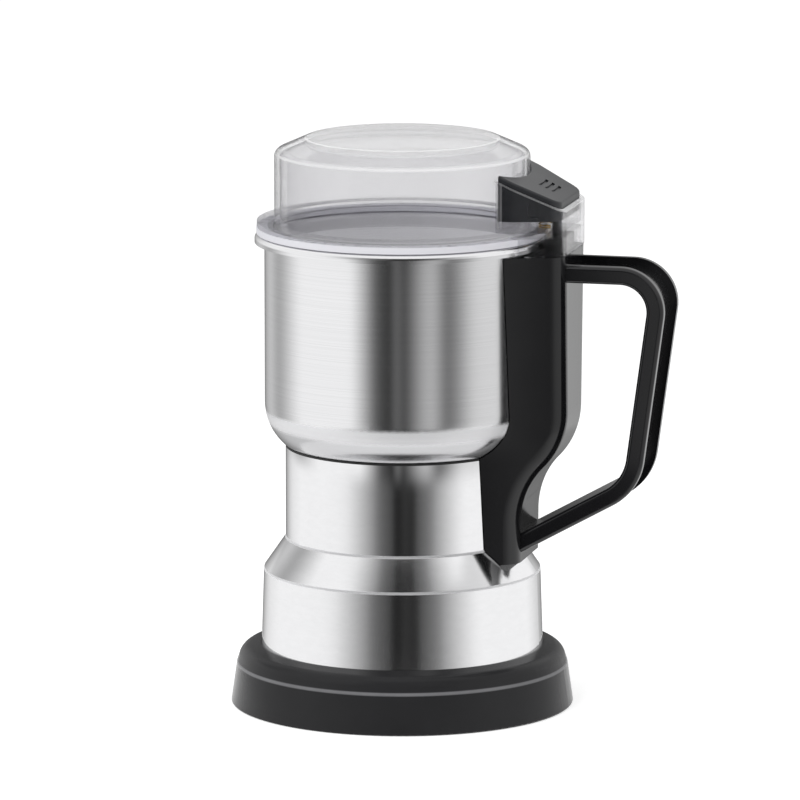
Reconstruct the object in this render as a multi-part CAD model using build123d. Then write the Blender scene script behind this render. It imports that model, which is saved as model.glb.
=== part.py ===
from build123d import *
import math
import os

# Electric grinder in millimetres, +Z up. The motor axis is the Z axis, the grinder stands on Z = 0,
# the handle points along +X and the mains cord leaves at the rear, along +Y.

# Clearances
SEAT_GAP = 0.1        # round pieces that are fixed in each other
MOVE_GAP = 0.4        # between pieces that move past each other
SHAFT_PLAY = 0.05     # round a shaft in its bearing
PRESS_GAP = 0.3       # play in the push chain before the switch moves
OVERRUN = 2.0         # how far a cut runs past what it cuts

# Base
BASE_FLARE = 12.3
BASE_HEIGHT = 23.9
BASE_LEAN = 2.3
BASE_WALL = 2.6
BASE_EDGE = 0.6
RIDGE_HEIGHT = 16.2
RIDGE_ROUND = 0.9
DOME_ROUND = 8.0
BASE_REVEAL = 0.4
LEDGE_EDGE = 4.5
COLLAR_HEIGHT = 5.0
COLLAR_WALL = 1.8
COVER_LOW = 1.5
COVER_WALL = 2.4
COVER_SCREW_IN = 4.0
COVER_BOSS_R = 3.6
COVER_SCREW_R = 1.4
COVER_SCREW_LENGTH = 11.0
VENT_WIDTH = 2.6
VENT_IN_R = 14.0
FOOT_IN = 6.6
FOOT_R = 6.0
FOOT_STEM_R = 2.0
GLAND_HEIGHT = 9.3
GLAND_BORE_R = 3.0
GLAND_WALL = 1.2
GLAND_LIP = 0.9

# Motor shell and bowl, all of sheet steel
SHEET = 0.8
SHELL_LEAN = 1.0
SHOULDER_REACH = 8.8
SHELL_HEIGHT = 30.9
SHOULDER_HEIGHT = 12.7
SHELL_EDGE = 1.2
NECK_ROOM = 5.9
NECK_HEIGHT = 36.8
BOWL_GAP = 0.9
BOWL_OVERHANG = 8.3
BOWL_HEIGHT = 90.1
BOWL_CORNER_R = 22.0
RIM_REACH = 3.9
RIM_BAND = 3.7
RIM_EDGE = 1.6
SEAT_RING_WALL = 2.4
SEAT_RING_DEPTH = 5.0

# Lid
SEAL_HEIGHT = 2.7
SEAL_IN = 0.7
SEAL_SQUEEZE_GAP = 0.1
FLANGE_IN = 0.9
FLANGE_WALL = 2.2
LID_IN = 4.0
LID_WALL = 2.2
LID_HEIGHT = 27.7
LID_CONE_HEIGHT = 5.6
LID_CONE_REACH = 12.6
LID_EDGE = 3.0
SPIGOT_GAP = 0.6
SPIGOT_WALL = 2.0
SPIGOT_DEPTH = 6.0
HOUSING_PROUD = 0.2
HOUSING_WALL = 1.5
HOUSING_NARROW = 0.8
HOUSING_RISE = 17.8
HOUSING_ROUND = 7.0
HOUSING_SLANT = 25.0   # degrees

# Button in the lid housing
PRESS_TRAVEL = 3.0
BUTTON_GAP = 0.5
BUTTON_PROUD = 2.4
BUTTON_WALL = 2.0
BUTTON_LOW_GAP = 1.6
BUTTON_EDGE = 1.0
GRIP_DEPTH = 0.7
GRIP_WIDTH = 1.2
GRIP_PITCH = 2.6
GRIP_HALF = 6.8
GRIP_COUNT = 3
LUG_LENGTH = 6.0
LUG_HEIGHT = 1.6
LUG_REACH = 1.0
PLUNGER_R = 1.9
PLUNGER_BOSS_WALL = 1.4
SPRING_MEAN_R = 2.2
SPRING_WIRE = 0.6
SPRING_LENGTH = 10.6
SPRING_PITCH = 1.4
SPRING_SIDE = 7.0
SPRING_IN = 3.4
SPRING_POST_R = 3.3

# Column and handle
COLUMN_REACH = 15.6
COLUMN_FOOT_REACH = 5.6
COLUMN_GAP = 0.3
COLUMN_WALL = 2.2
COLUMN_TOP_GAP = 1.0
COLUMN_DROP = 5.8
COLUMN_FOOT_STRAIGHT = 10.5
COLUMN_ROUND = 8.0
END_HALF = 20.1
BOWL_HALF = 27.8
FOOT_HALF = 20.5
HEAD_GAP = 0.8
HEAD_HALF = 7.0
HEAD_WALL = 2.0
GRIP_REACH = 41.6
GRIP_LEAN = 12.1
GRIP_THICKNESS = 7.0
GRIP_WIDE = 31.0
GRIP_TOP_ROUND = 17.7
GRIP_LOW_ROUND = 24.0
GRIP_EDGE = 1.6
ARM_DROP = 3.9
ARM_EMBED = 1.4
ELBOW_RISE = 24.6
FOOT_ARM_DROP = 2.0
CHANNEL_DEPTH = 3.0
CHANNEL_LAND = 4.0
COVER_PLATE_WALL = 1.2
COVER_PLATE_HALF = 10.0
COVER_PLATE_HEIGHT = 14.0
COVER_PLATE_RISE = 19.0
HANDLE_SCREW_R = 1.25
HANDLE_BOSS_R = 3.6
HANDLE_SCREW_SEAT = 12.0
HANDLE_SCREW_LENGTH = 20.0

# Push chain and switch inside the column
ROD_R = 1.5
ROD_IN = 7.4
ROD_RECESS = 1.6
ROD_COLLAR_R = 2.4
ROD_COLLAR_HEIGHT = 2.0
ROD_SPRING_PITCH = 1.65
SHELF = 2.0
SHELF_DROP = 8.0
SHELF_RISE = 22.0
SWITCH_RISE = 18.0
SWITCH_LONG = 20.0
SWITCH_WIDE = 6.0
SWITCH_TALL = 11.0
SWITCH_IN = 1.4
EAR_WALL = 0.8
EAR_HEIGHT = 2.2
PIVOT_RISE = 1.2
PIVOT_R = 0.5
BARREL_R = 0.9
LEVER_WIDE = 3.6
LEVER_WALL = 0.5
LEVER_ARM = 9.0
LEVER_TAIL = 7.0
LEVER_REST = 20.0      # degrees above level
TERMINAL_LENGTH = 5.0
TERMINAL_WIDE = 3.2
TERMINAL_WALL = 0.8
TERMINAL_SIDE = 5.0
LEAD_R = 0.9
LEAD_BEND = 2.5
GROMMET_WALL = 1.2
GROMMET_LIP = 1.2
STUD_R = 1.5
STUD_LENGTH = 5.0
STUD_RISE = 11.0
STUD_DROP = 13.5
NUT_R = 3.2
NUT_WALL = 2.0
UPPER_SCREW_RISE = 18.5
UPPER_SCREW_IN = 4.2
LOWER_SCREW_IN = 1.7
LOWER_SCREW_DROP = 1.0
FOOT_SCREW_R = 1.6

# Motor
SHAFT_R = 4.0
BEARING_R = 11.0
BEARING_WIDE = 7.0
BEARING_RACE = 2.0
BEARING_LIP = 1.2
BRACKET_WALL = 4.0
BRACKET_BOSS_WALL = 2.6
UPPER_BRACKET_ROOM = 3.4
UPPER_BRACKET_WEB_IN = 5.5
LOWER_BRACKET_ROOM = 1.5
HUB_R = 10.0
HUB_HEIGHT = 6.0
SEAL_RING_WALL = 3.0
SEAL_RING_HEIGHT = 4.0
BOWL_SCREW_RING_R = 22.0
BOWL_SCREW_R = 1.6
DAMPER_HEIGHT = 2.0
DAMPER_R = 4.4
FRAME_SCREW_IN = 4.5
FRAME_SCREW_R = 1.7
COMMUTATOR_SPACE = 20.0
STACK = 30.0
STATOR_RING = 7.0
POLE_WIDE = 20.0
AIR_GAP = 0.5
ROTOR_R = 22.0
SLOT_COUNT = 12
SLOT_WIDE = 2.6
SLOT_DEEP = 7.0
COIL_WALL = 4.5
COIL_DEEP = 4.5
COIL_ROOM = 0.31
WINDING_HEIGHT = 5.0
WINDING_IN = 3.5
COMMUTATOR_R = 11.0
COMMUTATOR_HEIGHT = 11.0
SEGMENT_COUNT = 16
SEGMENT_CUT = 0.5
BRUSH_WIDE = 5.0
BRUSH_TALL = 6.0
BRUSH_LONG = 9.0
BRUSH_SPRING_LENGTH = 8.0
BRUSH_SPRING_PITCH = 1.55
HOLDER_WALL = 1.4
MOTOR_BOLT_R = 2.0
SPACER_R = 3.6
FAN_ROOM = 5.0
FAN_HEIGHT = 8.0
FAN_DISC = 1.5
FAN_HUB_R = 8.0
FAN_GAP = 2.0
FAN_VANES = 9
SHAFT_STUB = 1.0

# Blades
BLADE_GAP = 0.8
BLADE_COLLAR_R = 7.5
BLADE_COLLAR_HEIGHT = 2.0
BLADE_WALL = 1.4
BLADE_WIDE = 13.0
BLADE_TIP_GAP = 9.2
UPPER_BLADE_STEP = 7.0
BLADE_TIP = 13.0
LOWER_TIP_ANGLE = 12.0
UPPER_TIP_ANGLE = 32.0
BLADE_NUT_R = 6.0
BLADE_NUT_HEIGHT = 8.0

# Shares of the sizes that they follow
DOME_IN_SHARE = 0.21
DOME_UP_SHARE = 0.78
SHARED_SIDE_SHARE = 0.48   # most of a straight side that one of two roundings may use
WHOLE_SIDE_SHARE = 0.97    # most of a straight side that a single rounding may use
HEAD_R_SHARE = 1.9         # screw head radius against the shank's
HEAD_HEIGHT_SHARE = 1.1
CROSS_WIDE_SHARE = 0.5
CROSS_LONG_SHARE = 2.2
CROSS_DEEP_SHARE = 0.5
TURN_IN_SHARE = 0.55       # rise of a spring's first quarter turn against its radius
HALF_TURN_SHARE = 0.5
ROD_SPRING_SHARE = 0.58    # rod spring's length against the room for it

# Counts and angles
FULL_TURN = 360.0
QUARTER_TURN = 90.0
QUARTERS = 4
FIXING_COUNT = 4
HALF_FIXING = FULL_TURN / FIXING_COUNT / 2
BOWL_SCREW_COUNT = 3
VENT_COUNT = 16
BLADE_COUNT = 2
HEX_SIDES = 6
GAP_SAMPLES = 6

# Radii that follow from the sizes above, from the rotor outwards
COIL_NEAR = ROTOR_R + AIR_GAP + COIL_DEEP / 2
COIL_FAR = COIL_NEAR + COIL_DEEP
COIL_HALF = POLE_WIDE / 2 + SEAT_GAP + COIL_WALL
STATOR_R = math.hypot(COIL_HALF, COIL_FAR) + COIL_ROOM + STATOR_RING
BOLT_X = STATOR_R - STATOR_RING / 2
NECK_R = STATOR_R + NECK_ROOM + SHEET
SHELL_R = NECK_R + SHOULDER_REACH
SHELL_FOOT_R = SHELL_R + SHELL_LEAN
BASE_R = SHELL_FOOT_R + BASE_FLARE
COLLAR_LEAN = SHELL_LEAN * COLLAR_HEIGHT / SHELL_HEIGHT
COLLAR_R = SHELL_FOOT_R - SHEET - COLLAR_LEAN - 2 * SEAT_GAP
LOWER_BRACKET_R = COLLAR_R - COLLAR_WALL - LOWER_BRACKET_ROOM
FRAME_SCREW_RING_R = LOWER_BRACKET_R - FRAME_SCREW_IN
LEDGE_R = FRAME_SCREW_RING_R - LEDGE_EDGE
FAN_R = LEDGE_R - FAN_ROOM
COVER_SCREW_RING_R = SHELL_FOOT_R - COVER_SCREW_IN
FOOT_RING_R = BASE_R - BASE_WALL - BASE_LEAN - FOOT_R - FOOT_IN
UPPER_BRACKET_R = NECK_R - SHEET - UPPER_BRACKET_ROOM
UPPER_BRACKET_WEB_R = BOLT_X - UPPER_BRACKET_WEB_IN
WINDING_R = ROTOR_R - WINDING_IN
BOWL_R = NECK_R + BOWL_OVERHANG
RIM_R = BOWL_R + RIM_REACH
SEAL_R = RIM_R - SEAL_IN
FLANGE_R = RIM_R - FLANGE_IN
LID_R = BOWL_R - LID_IN
LID_TOP_R = LID_R - LID_CONE_REACH
HOUSING_HALF = BOWL_HALF - HOUSING_NARROW
LOWER_BLADE_R = BOWL_R - SHEET - BLADE_TIP_GAP
UPPER_BLADE_R = LOWER_BLADE_R - UPPER_BLADE_STEP

# Heights and places that follow


def corner_rise(radius):
    """Height of the bowl's outside above its bottom at a distance from the axis."""
    past = max(0, radius - (BOWL_R - BOWL_CORNER_R))
    return BOWL_CORNER_R - math.sqrt(BOWL_CORNER_R ** 2 - past ** 2)


Z_SHELL = BASE_HEIGHT
Z_SHOULDER = Z_SHELL + SHELL_HEIGHT
Z_NECK_FOOT = Z_SHOULDER + SHOULDER_HEIGHT
Z_NECK_TOP = Z_NECK_FOOT + NECK_HEIGHT
Z_BOWL = Z_NECK_TOP + BOWL_GAP - corner_rise(NECK_R)
Z_RIM = Z_BOWL + BOWL_HEIGHT
Z_FLANGE = Z_RIM + SEAL_HEIGHT
Z_FLANGE_TOP = Z_FLANGE + FLANGE_WALL
Z_LID_SHOULDER = Z_FLANGE_TOP + LID_HEIGHT
Z_LID_TOP = Z_LID_SHOULDER + LID_CONE_HEIGHT
Z_COVER_TOP = COVER_LOW + COVER_WALL

COLUMN_R = BOWL_R + COLUMN_REACH
COLUMN_FOOT_R = NECK_R + COLUMN_FOOT_REACH
Z_COLUMN_TOP = Z_RIM - RIM_BAND - COLUMN_TOP_GAP
Z_COLUMN_LOW = Z_NECK_FOOT - COLUMN_DROP
Z_BEND_TOP = Z_BOWL + BOWL_CORNER_R
Z_BEND_LOW = Z_NECK_FOOT + COLUMN_FOOT_STRAIGHT
COLUMN_IN_R = BOWL_R + COLUMN_GAP + COLUMN_WALL
FLARE_R = math.sqrt(BOWL_R ** 2 - BOWL_HALF ** 2)
FLARE_SHARE = (BOWL_HALF - END_HALF) / (COLUMN_R - FLARE_R)

ROD_X = COLUMN_R - ROD_IN
Z_HEAD_TOP = Z_FLANGE - HEAD_GAP
Z_ROD_TOP = Z_HEAD_TOP - ROD_RECESS
Z_PLUNGER_LOW = Z_ROD_TOP + PRESS_GAP
HOUSING_R = COLUMN_R + HOUSING_PROUD
Z_HOUSING_LOW = Z_COLUMN_TOP + MOVE_GAP
Z_HOUSING_TOP = Z_FLANGE_TOP + HOUSING_RISE
Z_BUTTON_LOW = Z_FLANGE_TOP + PRESS_TRAVEL + BUTTON_LOW_GAP
SPIGOT_R = BOWL_R - SHEET - SPIGOT_GAP

SWITCH_X = COLUMN_IN_R + SWITCH_IN + SWITCH_WIDE / 2
Z_SWITCH = Z_BOWL + SWITCH_RISE
Z_SWITCH_TOP = Z_SWITCH + SWITCH_TALL
Z_PIVOT = Z_SWITCH_TOP + PIVOT_RISE
Z_TERMINAL = Z_SWITCH - TERMINAL_LENGTH
Z_SHELF_LOW = Z_SWITCH_TOP + SHELF_RISE
Z_SHELF_TOP = Z_COLUMN_TOP - SHELF_DROP
LEVER_SLOPE = math.radians(LEVER_REST)
LEVER_TOP_RISE = LEVER_ARM * math.tan(LEVER_SLOPE) + LEVER_WALL / math.cos(LEVER_SLOPE)
Z_ROD_LOW = Z_PIVOT + LEVER_TOP_RISE + PRESS_GAP
ROD_SPRING_LENGTH = (Z_SHELF_TOP - Z_SHELF_LOW - SHELF - ROD_COLLAR_HEIGHT) * ROD_SPRING_SHARE
Z_ROD_COLLAR = Z_SHELF_LOW + SHELF + ROD_SPRING_LENGTH
Z_COVER_PLATE = Z_NECK_FOOT + COVER_PLATE_RISE
Z_FOOT_SCREW = Z_COVER_PLATE + COVER_PLATE_HEIGHT / 2

Z_DAMPER = BASE_HEIGHT
Z_LOWER_BRACKET = Z_DAMPER + DAMPER_HEIGHT
Z_LOWER_TOP = Z_LOWER_BRACKET + BRACKET_WALL
Z_STATOR = Z_LOWER_TOP + COMMUTATOR_SPACE
Z_STATOR_TOP = Z_STATOR + STACK
Z_UPPER_BRACKET = Z_BOWL - BRACKET_WALL
Z_COMMUTATOR = Z_STATOR - WINDING_HEIGHT - SEAT_GAP - COMMUTATOR_HEIGHT
Z_BRUSH = Z_COMMUTATOR + COMMUTATOR_HEIGHT / 2
Z_LOWER_BOSS = Z_LOWER_TOP - BEARING_LIP - BEARING_WIDE - BEARING_LIP
Z_FAN_TOP = Z_LOWER_BOSS - FAN_GAP
Z_FAN = Z_FAN_TOP - FAN_HEIGHT
Z_HUB_TOP = Z_BOWL + SHEET + HUB_HEIGHT
Z_BLADE_COLLAR = Z_HUB_TOP + BLADE_GAP
Z_BLADE = Z_BLADE_COLLAR + BLADE_COLLAR_HEIGHT
Z_BLADE_NUT = Z_BLADE + BLADE_COUNT * BLADE_WALL
Z_LEAD = Z_FOOT_SCREW
UPRIGHT = (Align.CENTER, Align.CENTER, Align.MIN)


# Shapes that several pieces use


def upright(radius, low, high):
    """Solid round bar on the Z axis between two heights."""
    return Pos(0, 0, low) * Cylinder(radius, high - low, align=UPRIGHT)


def ring(outer, inner, low, high):
    """Ring round the Z axis between two heights."""
    return upright(outer, low, high) - upright(inner, low - OVERRUN, high + OVERRUN)


def bar(x_span, y_span, z_span):
    """Box between two places along each axis."""
    spans = (x_span, y_span, z_span)
    corner = Pos(x_span[0], y_span[0], z_span[0])
    return corner * Box(*[span[1] - span[0] for span in spans], align=(Align.MIN,) * len(spans))


def round_about(shape, count, start=0):
    """Copies of a shape spaced evenly round the Z axis."""
    return [Rot(0, 0, start + FULL_TURN * step / count) * shape for step in range(count)]


def along_x(shape, x, y, z):
    """Turn a shape that points up so that it points along +X from a place."""
    return Pos(x, y, z) * Rot(0, QUARTER_TURN, 0) * shape


def against_x(shape, x, y, z):
    """Turn a shape that points up so that it points along -X from a place."""
    return Pos(x, y, z) * Rot(0, -QUARTER_TURN, 0) * shape


def along_y(shape, x, y, z):
    """Turn a shape that points up so that it points along +Y from a place."""
    return Pos(x, y, z) * Rot(-QUARTER_TURN, 0, 0) * shape


def against_y(shape, x, y, z):
    """Turn a shape that points up so that it points along -Y from a place."""
    return Pos(x, y, z) * Rot(QUARTER_TURN, 0, 0) * shape


def outline_face(points):
    """Closed face in the XZ plane; a point is (x, z) or (x, z, corner radius)."""
    places = [Vector(point[0], 0, point[1]) for point in points]
    radii = [point[2] if len(point) > 2 else 0 for point in points]
    corners = []
    for step, here in enumerate(places):
        back = places[step - 1] - here
        ahead = places[(step + 1) % len(places)] - here
        half = math.radians(back.get_angle(ahead)) / 2
        if radii[step] == 0:
            corners.append((here, here, here))
            continue
        ahead_share = SHARED_SIDE_SHARE if radii[(step + 1) % len(places)] > 0 else WHOLE_SIDE_SHARE
        back_share = SHARED_SIDE_SHARE if radii[step - 1] > 0 else WHOLE_SIDE_SHARE
        room = min(back.length * back_share, ahead.length * ahead_share)
        reach = min(radii[step] / math.tan(half), room)
        start = here + back.normalized() * reach
        end = here + ahead.normalized() * reach
        middle_way = (back.normalized() + ahead.normalized()).normalized()
        depth = reach / math.cos(half) - reach * math.tan(half)
        corners.append((start, here + middle_way * depth, end))
    edges = []
    for step, (start, middle, end) in enumerate(corners):
        if radii[step] > 0:
            edges.append(ThreePointArc(start, middle, end))
        edges.append(Line(end, corners[(step + 1) % len(corners)][0]))
    return make_face(edges)


def turned(points):
    """Solid of revolution of an outline round the Z axis."""
    return revolve(outline_face(points), Axis.Z)


def square_end(left, distance):
    """Step from a path's end to its shifted copy's end, level or plumb, whichever is nearer."""
    if abs(left.X) > abs(left.Z):
        return Vector(distance / left.X, 0, 0)
    return Vector(0, 0, distance / left.Z)


def shifted(path, distance):
    """Open path moved to its left by a distance, its rounded corners kept concentric."""
    places = [Vector(point[0], 0, point[1]) for point in path]
    runs = [(b - a).normalized() for a, b in zip(places, places[1:])]
    lefts = [Vector(-run.Z, 0, run.X) for run in runs]
    moved = []
    for step, place in enumerate(places):
        first = lefts[max(step - 1, 0)]
        second = lefts[min(step, len(lefts) - 1)]
        mitre = (first + second) * (distance / (1 + first.dot(second)))
        if step in (0, len(path) - 1):
            mitre = square_end(first if step else second, distance)
        radius = path[step][2] if len(path[step]) > 2 else 0
        turns_left = first.X * second.Z - first.Z * second.X > 0
        if 0 < step < len(path) - 1 and radius > 0:
            radius = max(radius - distance if turns_left else radius + distance, 0)
        else:
            radius = 0
        moved.append((place.X + mitre.X, place.Z + mitre.Z, radius))
    return moved


def sheet(path, wall):
    """Outline of a sheet with one face on a path and its thickness to the left."""
    return list(path) + shifted(path, wall)[::-1]


def screw(shank_r, length):
    """Cross-head screw that points up, with the underside of its head at Z = 0."""
    head_height = shank_r * HEAD_HEIGHT_SHARE
    head = upright(shank_r * HEAD_R_SHARE, -head_height, 0)
    wide = shank_r * CROSS_WIDE_SHARE / 2
    long = shank_r * CROSS_LONG_SHARE / 2
    deep = (-head_height - OVERRUN, -head_height + head_height * CROSS_DEEP_SHARE)
    cross = bar((-wide, wide), (-long, long), deep) + bar((-long, long), (-wide, wide), deep)
    return head + upright(shank_r, 0, length) - cross


def biarc(start, start_way, end, end_way):
    """Two arcs that leave a place along one direction and reach another along a second."""
    chord = end - start
    both = start_way + end_way
    spread = 2 * (1 - start_way.dot(end_way))
    along = chord.dot(both)
    reach = (math.sqrt(along ** 2 + spread * chord.dot(chord)) - along) / spread
    meet = (start + end + (start_way - end_way) * reach) * HALF_TURN_SHARE
    way = (end - end_way * reach - start - start_way * reach).normalized()
    return [TangentArc(start, meet, tangent=start_way), TangentArc(meet, end, tangent=way)]


def coil_spring(name, mean_r, wire, length, pitch):
    """Compression spring that stands on Z = 0, in one unbroken wire with straight ends."""
    turn_in = mean_r * TURN_IN_SHARE
    wound = length - 2 * (wire + turn_in)
    turns = max(1, round(wound / pitch))
    quarter_rise = wound / (turns * QUARTERS)
    stops = []
    for quarter in range(turns * QUARTERS + 1):
        angle = math.radians(QUARTER_TURN * (quarter + 1))
        rise = wire + turn_in + quarter * quarter_rise
        place = Vector(mean_r * math.cos(angle), mean_r * math.sin(angle), rise)
        climb = quarter_rise / math.radians(QUARTER_TURN)
        way = Vector(-mean_r * math.sin(angle), mean_r * math.cos(angle), climb).normalized()
        stops.append((place, way))
    last = math.radians(QUARTER_TURN * (turns * QUARTERS + 2))
    up = Vector(0, 0, 1)
    foot = Vector(mean_r, 0, 0)
    top = Vector(mean_r * math.cos(last), mean_r * math.sin(last), length)
    stops = [(foot + up * wire, up)] + stops + [(top - up * wire, up)]
    edges = [Line(foot, foot + up * wire)]
    for (start, start_way), (end, end_way) in zip(stops, stops[1:]):
        edges += biarc(start, start_way, end, end_way)
    edges.append(Line(top - up * wire, top))
    print(name, "least gap between turns", round(least_gap(edges, mean_r, wire), 3))
    return sweep(Pos(foot) * Circle(wire / 2), path=Wire(edges))


def least_gap(edges, mean_r, wire):
    """Least clear distance between parts of a coil that are over half a turn apart."""
    points = []
    travelled = 0
    for edge in edges:
        for step in range(GAP_SAMPLES):
            share = step / GAP_SAMPLES
            points.append((travelled + edge.length * share, edge @ share))
        travelled += edge.length
    apart = math.pi * mean_r
    pairs = [(a, b) for a in points for b in points if b[0] - a[0] > apart]
    return min((b[1] - a[1]).length for a, b in pairs) - wire


# Base


def skirt_inside_r(height):
    """Inner radius of the base's side wall at a height."""
    return BASE_R - BASE_LEAN * height / RIDGE_HEIGHT - BASE_WALL


def gland_place(shape):
    """Put a shape that points up into the gland's place, pointing out at the rear."""
    return along_y(shape, 0, 0, GLAND_HEIGHT)


def base_skirt():
    """Flared base: side wall, ridge, domed top, ledge and collar for the shell, screw bosses."""
    ridge_r = BASE_R - BASE_LEAN
    seat_r = SHELL_FOOT_R + BASE_REVEAL
    dome_r = ridge_r + (seat_r - ridge_r) * DOME_IN_SHARE
    dome_z = RIDGE_HEIGHT + (BASE_HEIGHT - RIDGE_HEIGHT) * DOME_UP_SHARE
    path = [
        (BASE_R, 0, BASE_EDGE),
        (ridge_r, RIDGE_HEIGHT, RIDGE_ROUND),
        (dome_r, dome_z, DOME_ROUND),
        (seat_r, BASE_HEIGHT, 0),
        (LEDGE_R, BASE_HEIGHT, 0),
    ]
    under = BASE_HEIGHT - BASE_WALL / 2
    skirt = turned(sheet(path, BASE_WALL))
    skirt += ring(COLLAR_R, COLLAR_R - COLLAR_WALL, under, BASE_HEIGHT + COLLAR_HEIGHT)
    boss = Pos(COVER_SCREW_RING_R, 0, 0) * upright(COVER_BOSS_R, Z_COVER_TOP, under)
    pilot_top = COVER_SCREW_LENGTH + Z_COVER_TOP
    pilot = Pos(COVER_SCREW_RING_R, 0, 0) * upright(COVER_SCREW_R + SHAFT_PLAY, 0, pilot_top)
    hole = Pos(FRAME_SCREW_RING_R, 0, 0) * upright(FRAME_SCREW_R + SEAT_GAP, 0, BASE_HEIGHT + OVERRUN)
    for piece in round_about(boss, FIXING_COUNT, HALF_FIXING):
        skirt += piece
    for piece in round_about(pilot, FIXING_COUNT, HALF_FIXING) + round_about(hole, FIXING_COUNT):
        skirt -= piece
    return skirt - gland_place(upright(GLAND_BORE_R + GLAND_WALL + SEAT_GAP, LEDGE_R, BASE_R + OVERRUN))


def bottom_cover():
    """Round cover under the base with a ring of cooling slots."""
    cover = upright(skirt_inside_r(Z_COVER_TOP) - 2 * SEAT_GAP, COVER_LOW, Z_COVER_TOP)
    half = VENT_WIDTH / 2
    slot = bar((VENT_IN_R, FAN_R), (-half, half), (0, Z_COVER_TOP + OVERRUN))
    for piece in round_about(slot, VENT_COUNT, FULL_TURN / VENT_COUNT / 2):
        cover -= piece
    head_r = COVER_SCREW_R * HEAD_R_SHARE + SEAT_GAP
    sink = COVER_LOW + COVER_SCREW_R * HEAD_HEIGHT_SHARE
    hole = upright(COVER_SCREW_R + SEAT_GAP, 0, Z_COVER_TOP + OVERRUN) + upright(head_r, 0, sink)
    stem = upright(FOOT_STEM_R + SEAT_GAP, 0, Z_COVER_TOP + OVERRUN)
    for piece in round_about(Pos(COVER_SCREW_RING_R, 0, 0) * hole, FIXING_COUNT, HALF_FIXING):
        cover -= piece
    for piece in round_about(Pos(FOOT_RING_R, 0, 0) * stem, FIXING_COUNT):
        cover -= piece
    return cover


def rubber_feet():
    """Four rubber feet, pushed through the cover by their stems."""
    foot = upright(FOOT_R, 0, COVER_LOW) + upright(FOOT_STEM_R, 0, Z_COVER_TOP + FOOT_STEM_R)
    return round_about(Pos(FOOT_RING_R, 0, 0) * foot, FIXING_COUNT)


def cover_screws():
    """Four screws that hold the bottom cover."""
    sink = COVER_LOW + COVER_SCREW_R * HEAD_HEIGHT_SHARE
    piece = Pos(COVER_SCREW_RING_R, 0, sink) * screw(COVER_SCREW_R, COVER_SCREW_LENGTH)
    return round_about(piece, FIXING_COUNT, HALF_FIXING)


def cord_gland():
    """Rubber bush in the rear wall where the mains lead enters."""
    body_r = GLAND_BORE_R + GLAND_WALL
    lip_r = body_r + GLAND_LIP
    wall_out = BASE_R - BASE_LEAN * GLAND_HEIGHT / RIDGE_HEIGHT + BASE_LEAN * lip_r / RIDGE_HEIGHT
    wall_in = math.sqrt((skirt_inside_r(GLAND_HEIGHT + lip_r)) ** 2 - lip_r ** 2)
    outer = upright(lip_r, wall_out + SEAT_GAP, wall_out + GLAND_LIP)
    inner = upright(lip_r, wall_in - GLAND_LIP, wall_in - SEAT_GAP)
    body = upright(body_r, wall_in - GLAND_LIP, wall_out + GLAND_LIP)
    bore = upright(GLAND_BORE_R, wall_in - GLAND_LIP - OVERRUN, wall_out + GLAND_LIP + OVERRUN)
    return gland_place(outer + inner + body - bore)


# Motor shell and bowl


def body_envelope(gap):
    """Outside of the shell and the bowl, grown by a gap."""
    shell = [
        (0, Z_SHELL),
        (SHELL_FOOT_R + gap, Z_SHELL),
        (SHELL_R + gap, Z_SHOULDER),
        (NECK_R + gap, Z_NECK_FOOT),
        (NECK_R + gap, Z_BEND_TOP),
        (0, Z_BEND_TOP),
    ]
    return turned(shell) + bowl_envelope(gap)


def bowl_envelope(gap):
    """Outside of the bowl, grown by a gap."""
    bowl = [
        (0, Z_BOWL - gap),
        (BOWL_R + gap, Z_BOWL - gap, BOWL_CORNER_R + gap),
        (BOWL_R + gap, Z_RIM),
        (0, Z_RIM),
    ]
    return turned(bowl)


def motor_shell():
    """Polished shell: tapered skirt, sloping shoulder and neck, with holes behind the column."""
    path = [
        (SHELL_FOOT_R, Z_SHELL),
        (SHELL_R, Z_SHOULDER, SHELL_EDGE),
        (NECK_R, Z_NECK_FOOT, SHELL_EDGE),
        (NECK_R, Z_NECK_TOP),
    ]
    return turned(sheet(path, SHEET)) - neck_holes(SEAT_GAP)


def neck_holes(gap):
    """Holes through neck and column for the foot screw and the two lead grommets."""
    holes = along_x(upright(FOOT_SCREW_R + gap, 0, COLUMN_FOOT_R), 0, 0, Z_FOOT_SCREW)
    for side in (-1, 1):
        hole = upright(LEAD_R + GROMMET_WALL + gap, 0, COLUMN_FOOT_R)
        holes += along_x(hole, 0, side * TERMINAL_SIDE, Z_LEAD)
    return holes


def bowl_seat_ring():
    """Dark gasket on the neck's top edge that carries the bowl."""
    outer = NECK_R - SEAT_GAP
    inner = NECK_R - SHEET - SEAT_RING_WALL
    top = Z_NECK_TOP + BOWL_GAP + BOWL_CORNER_R
    gasket = ring(outer, inner, Z_NECK_TOP, top)
    gasket += ring(outer - SHEET, inner, Z_NECK_TOP - SEAT_RING_DEPTH, Z_NECK_TOP)
    return gasket - bowl_envelope(SEAT_GAP)


def bowl():
    """Bowl with a rounded bottom corner and a rim folded out and down."""
    path = [
        (HUB_R + SEAT_GAP, Z_BOWL),
        (BOWL_R, Z_BOWL, BOWL_CORNER_R),
        (BOWL_R, Z_RIM - SHEET, RIM_EDGE),
        (RIM_R - SHEET, Z_RIM - SHEET, RIM_EDGE),
        (RIM_R - SHEET, Z_RIM - RIM_BAND),
    ]
    hole = Pos(BOWL_SCREW_RING_R, 0, 0) * upright(BOWL_SCREW_R + SEAT_GAP, Z_BOWL - OVERRUN, Z_BOWL + OVERRUN)
    shape = turned(sheet(path, SHEET))
    for piece in round_about(hole, BOWL_SCREW_COUNT):
        shape -= piece
    return shape


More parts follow.
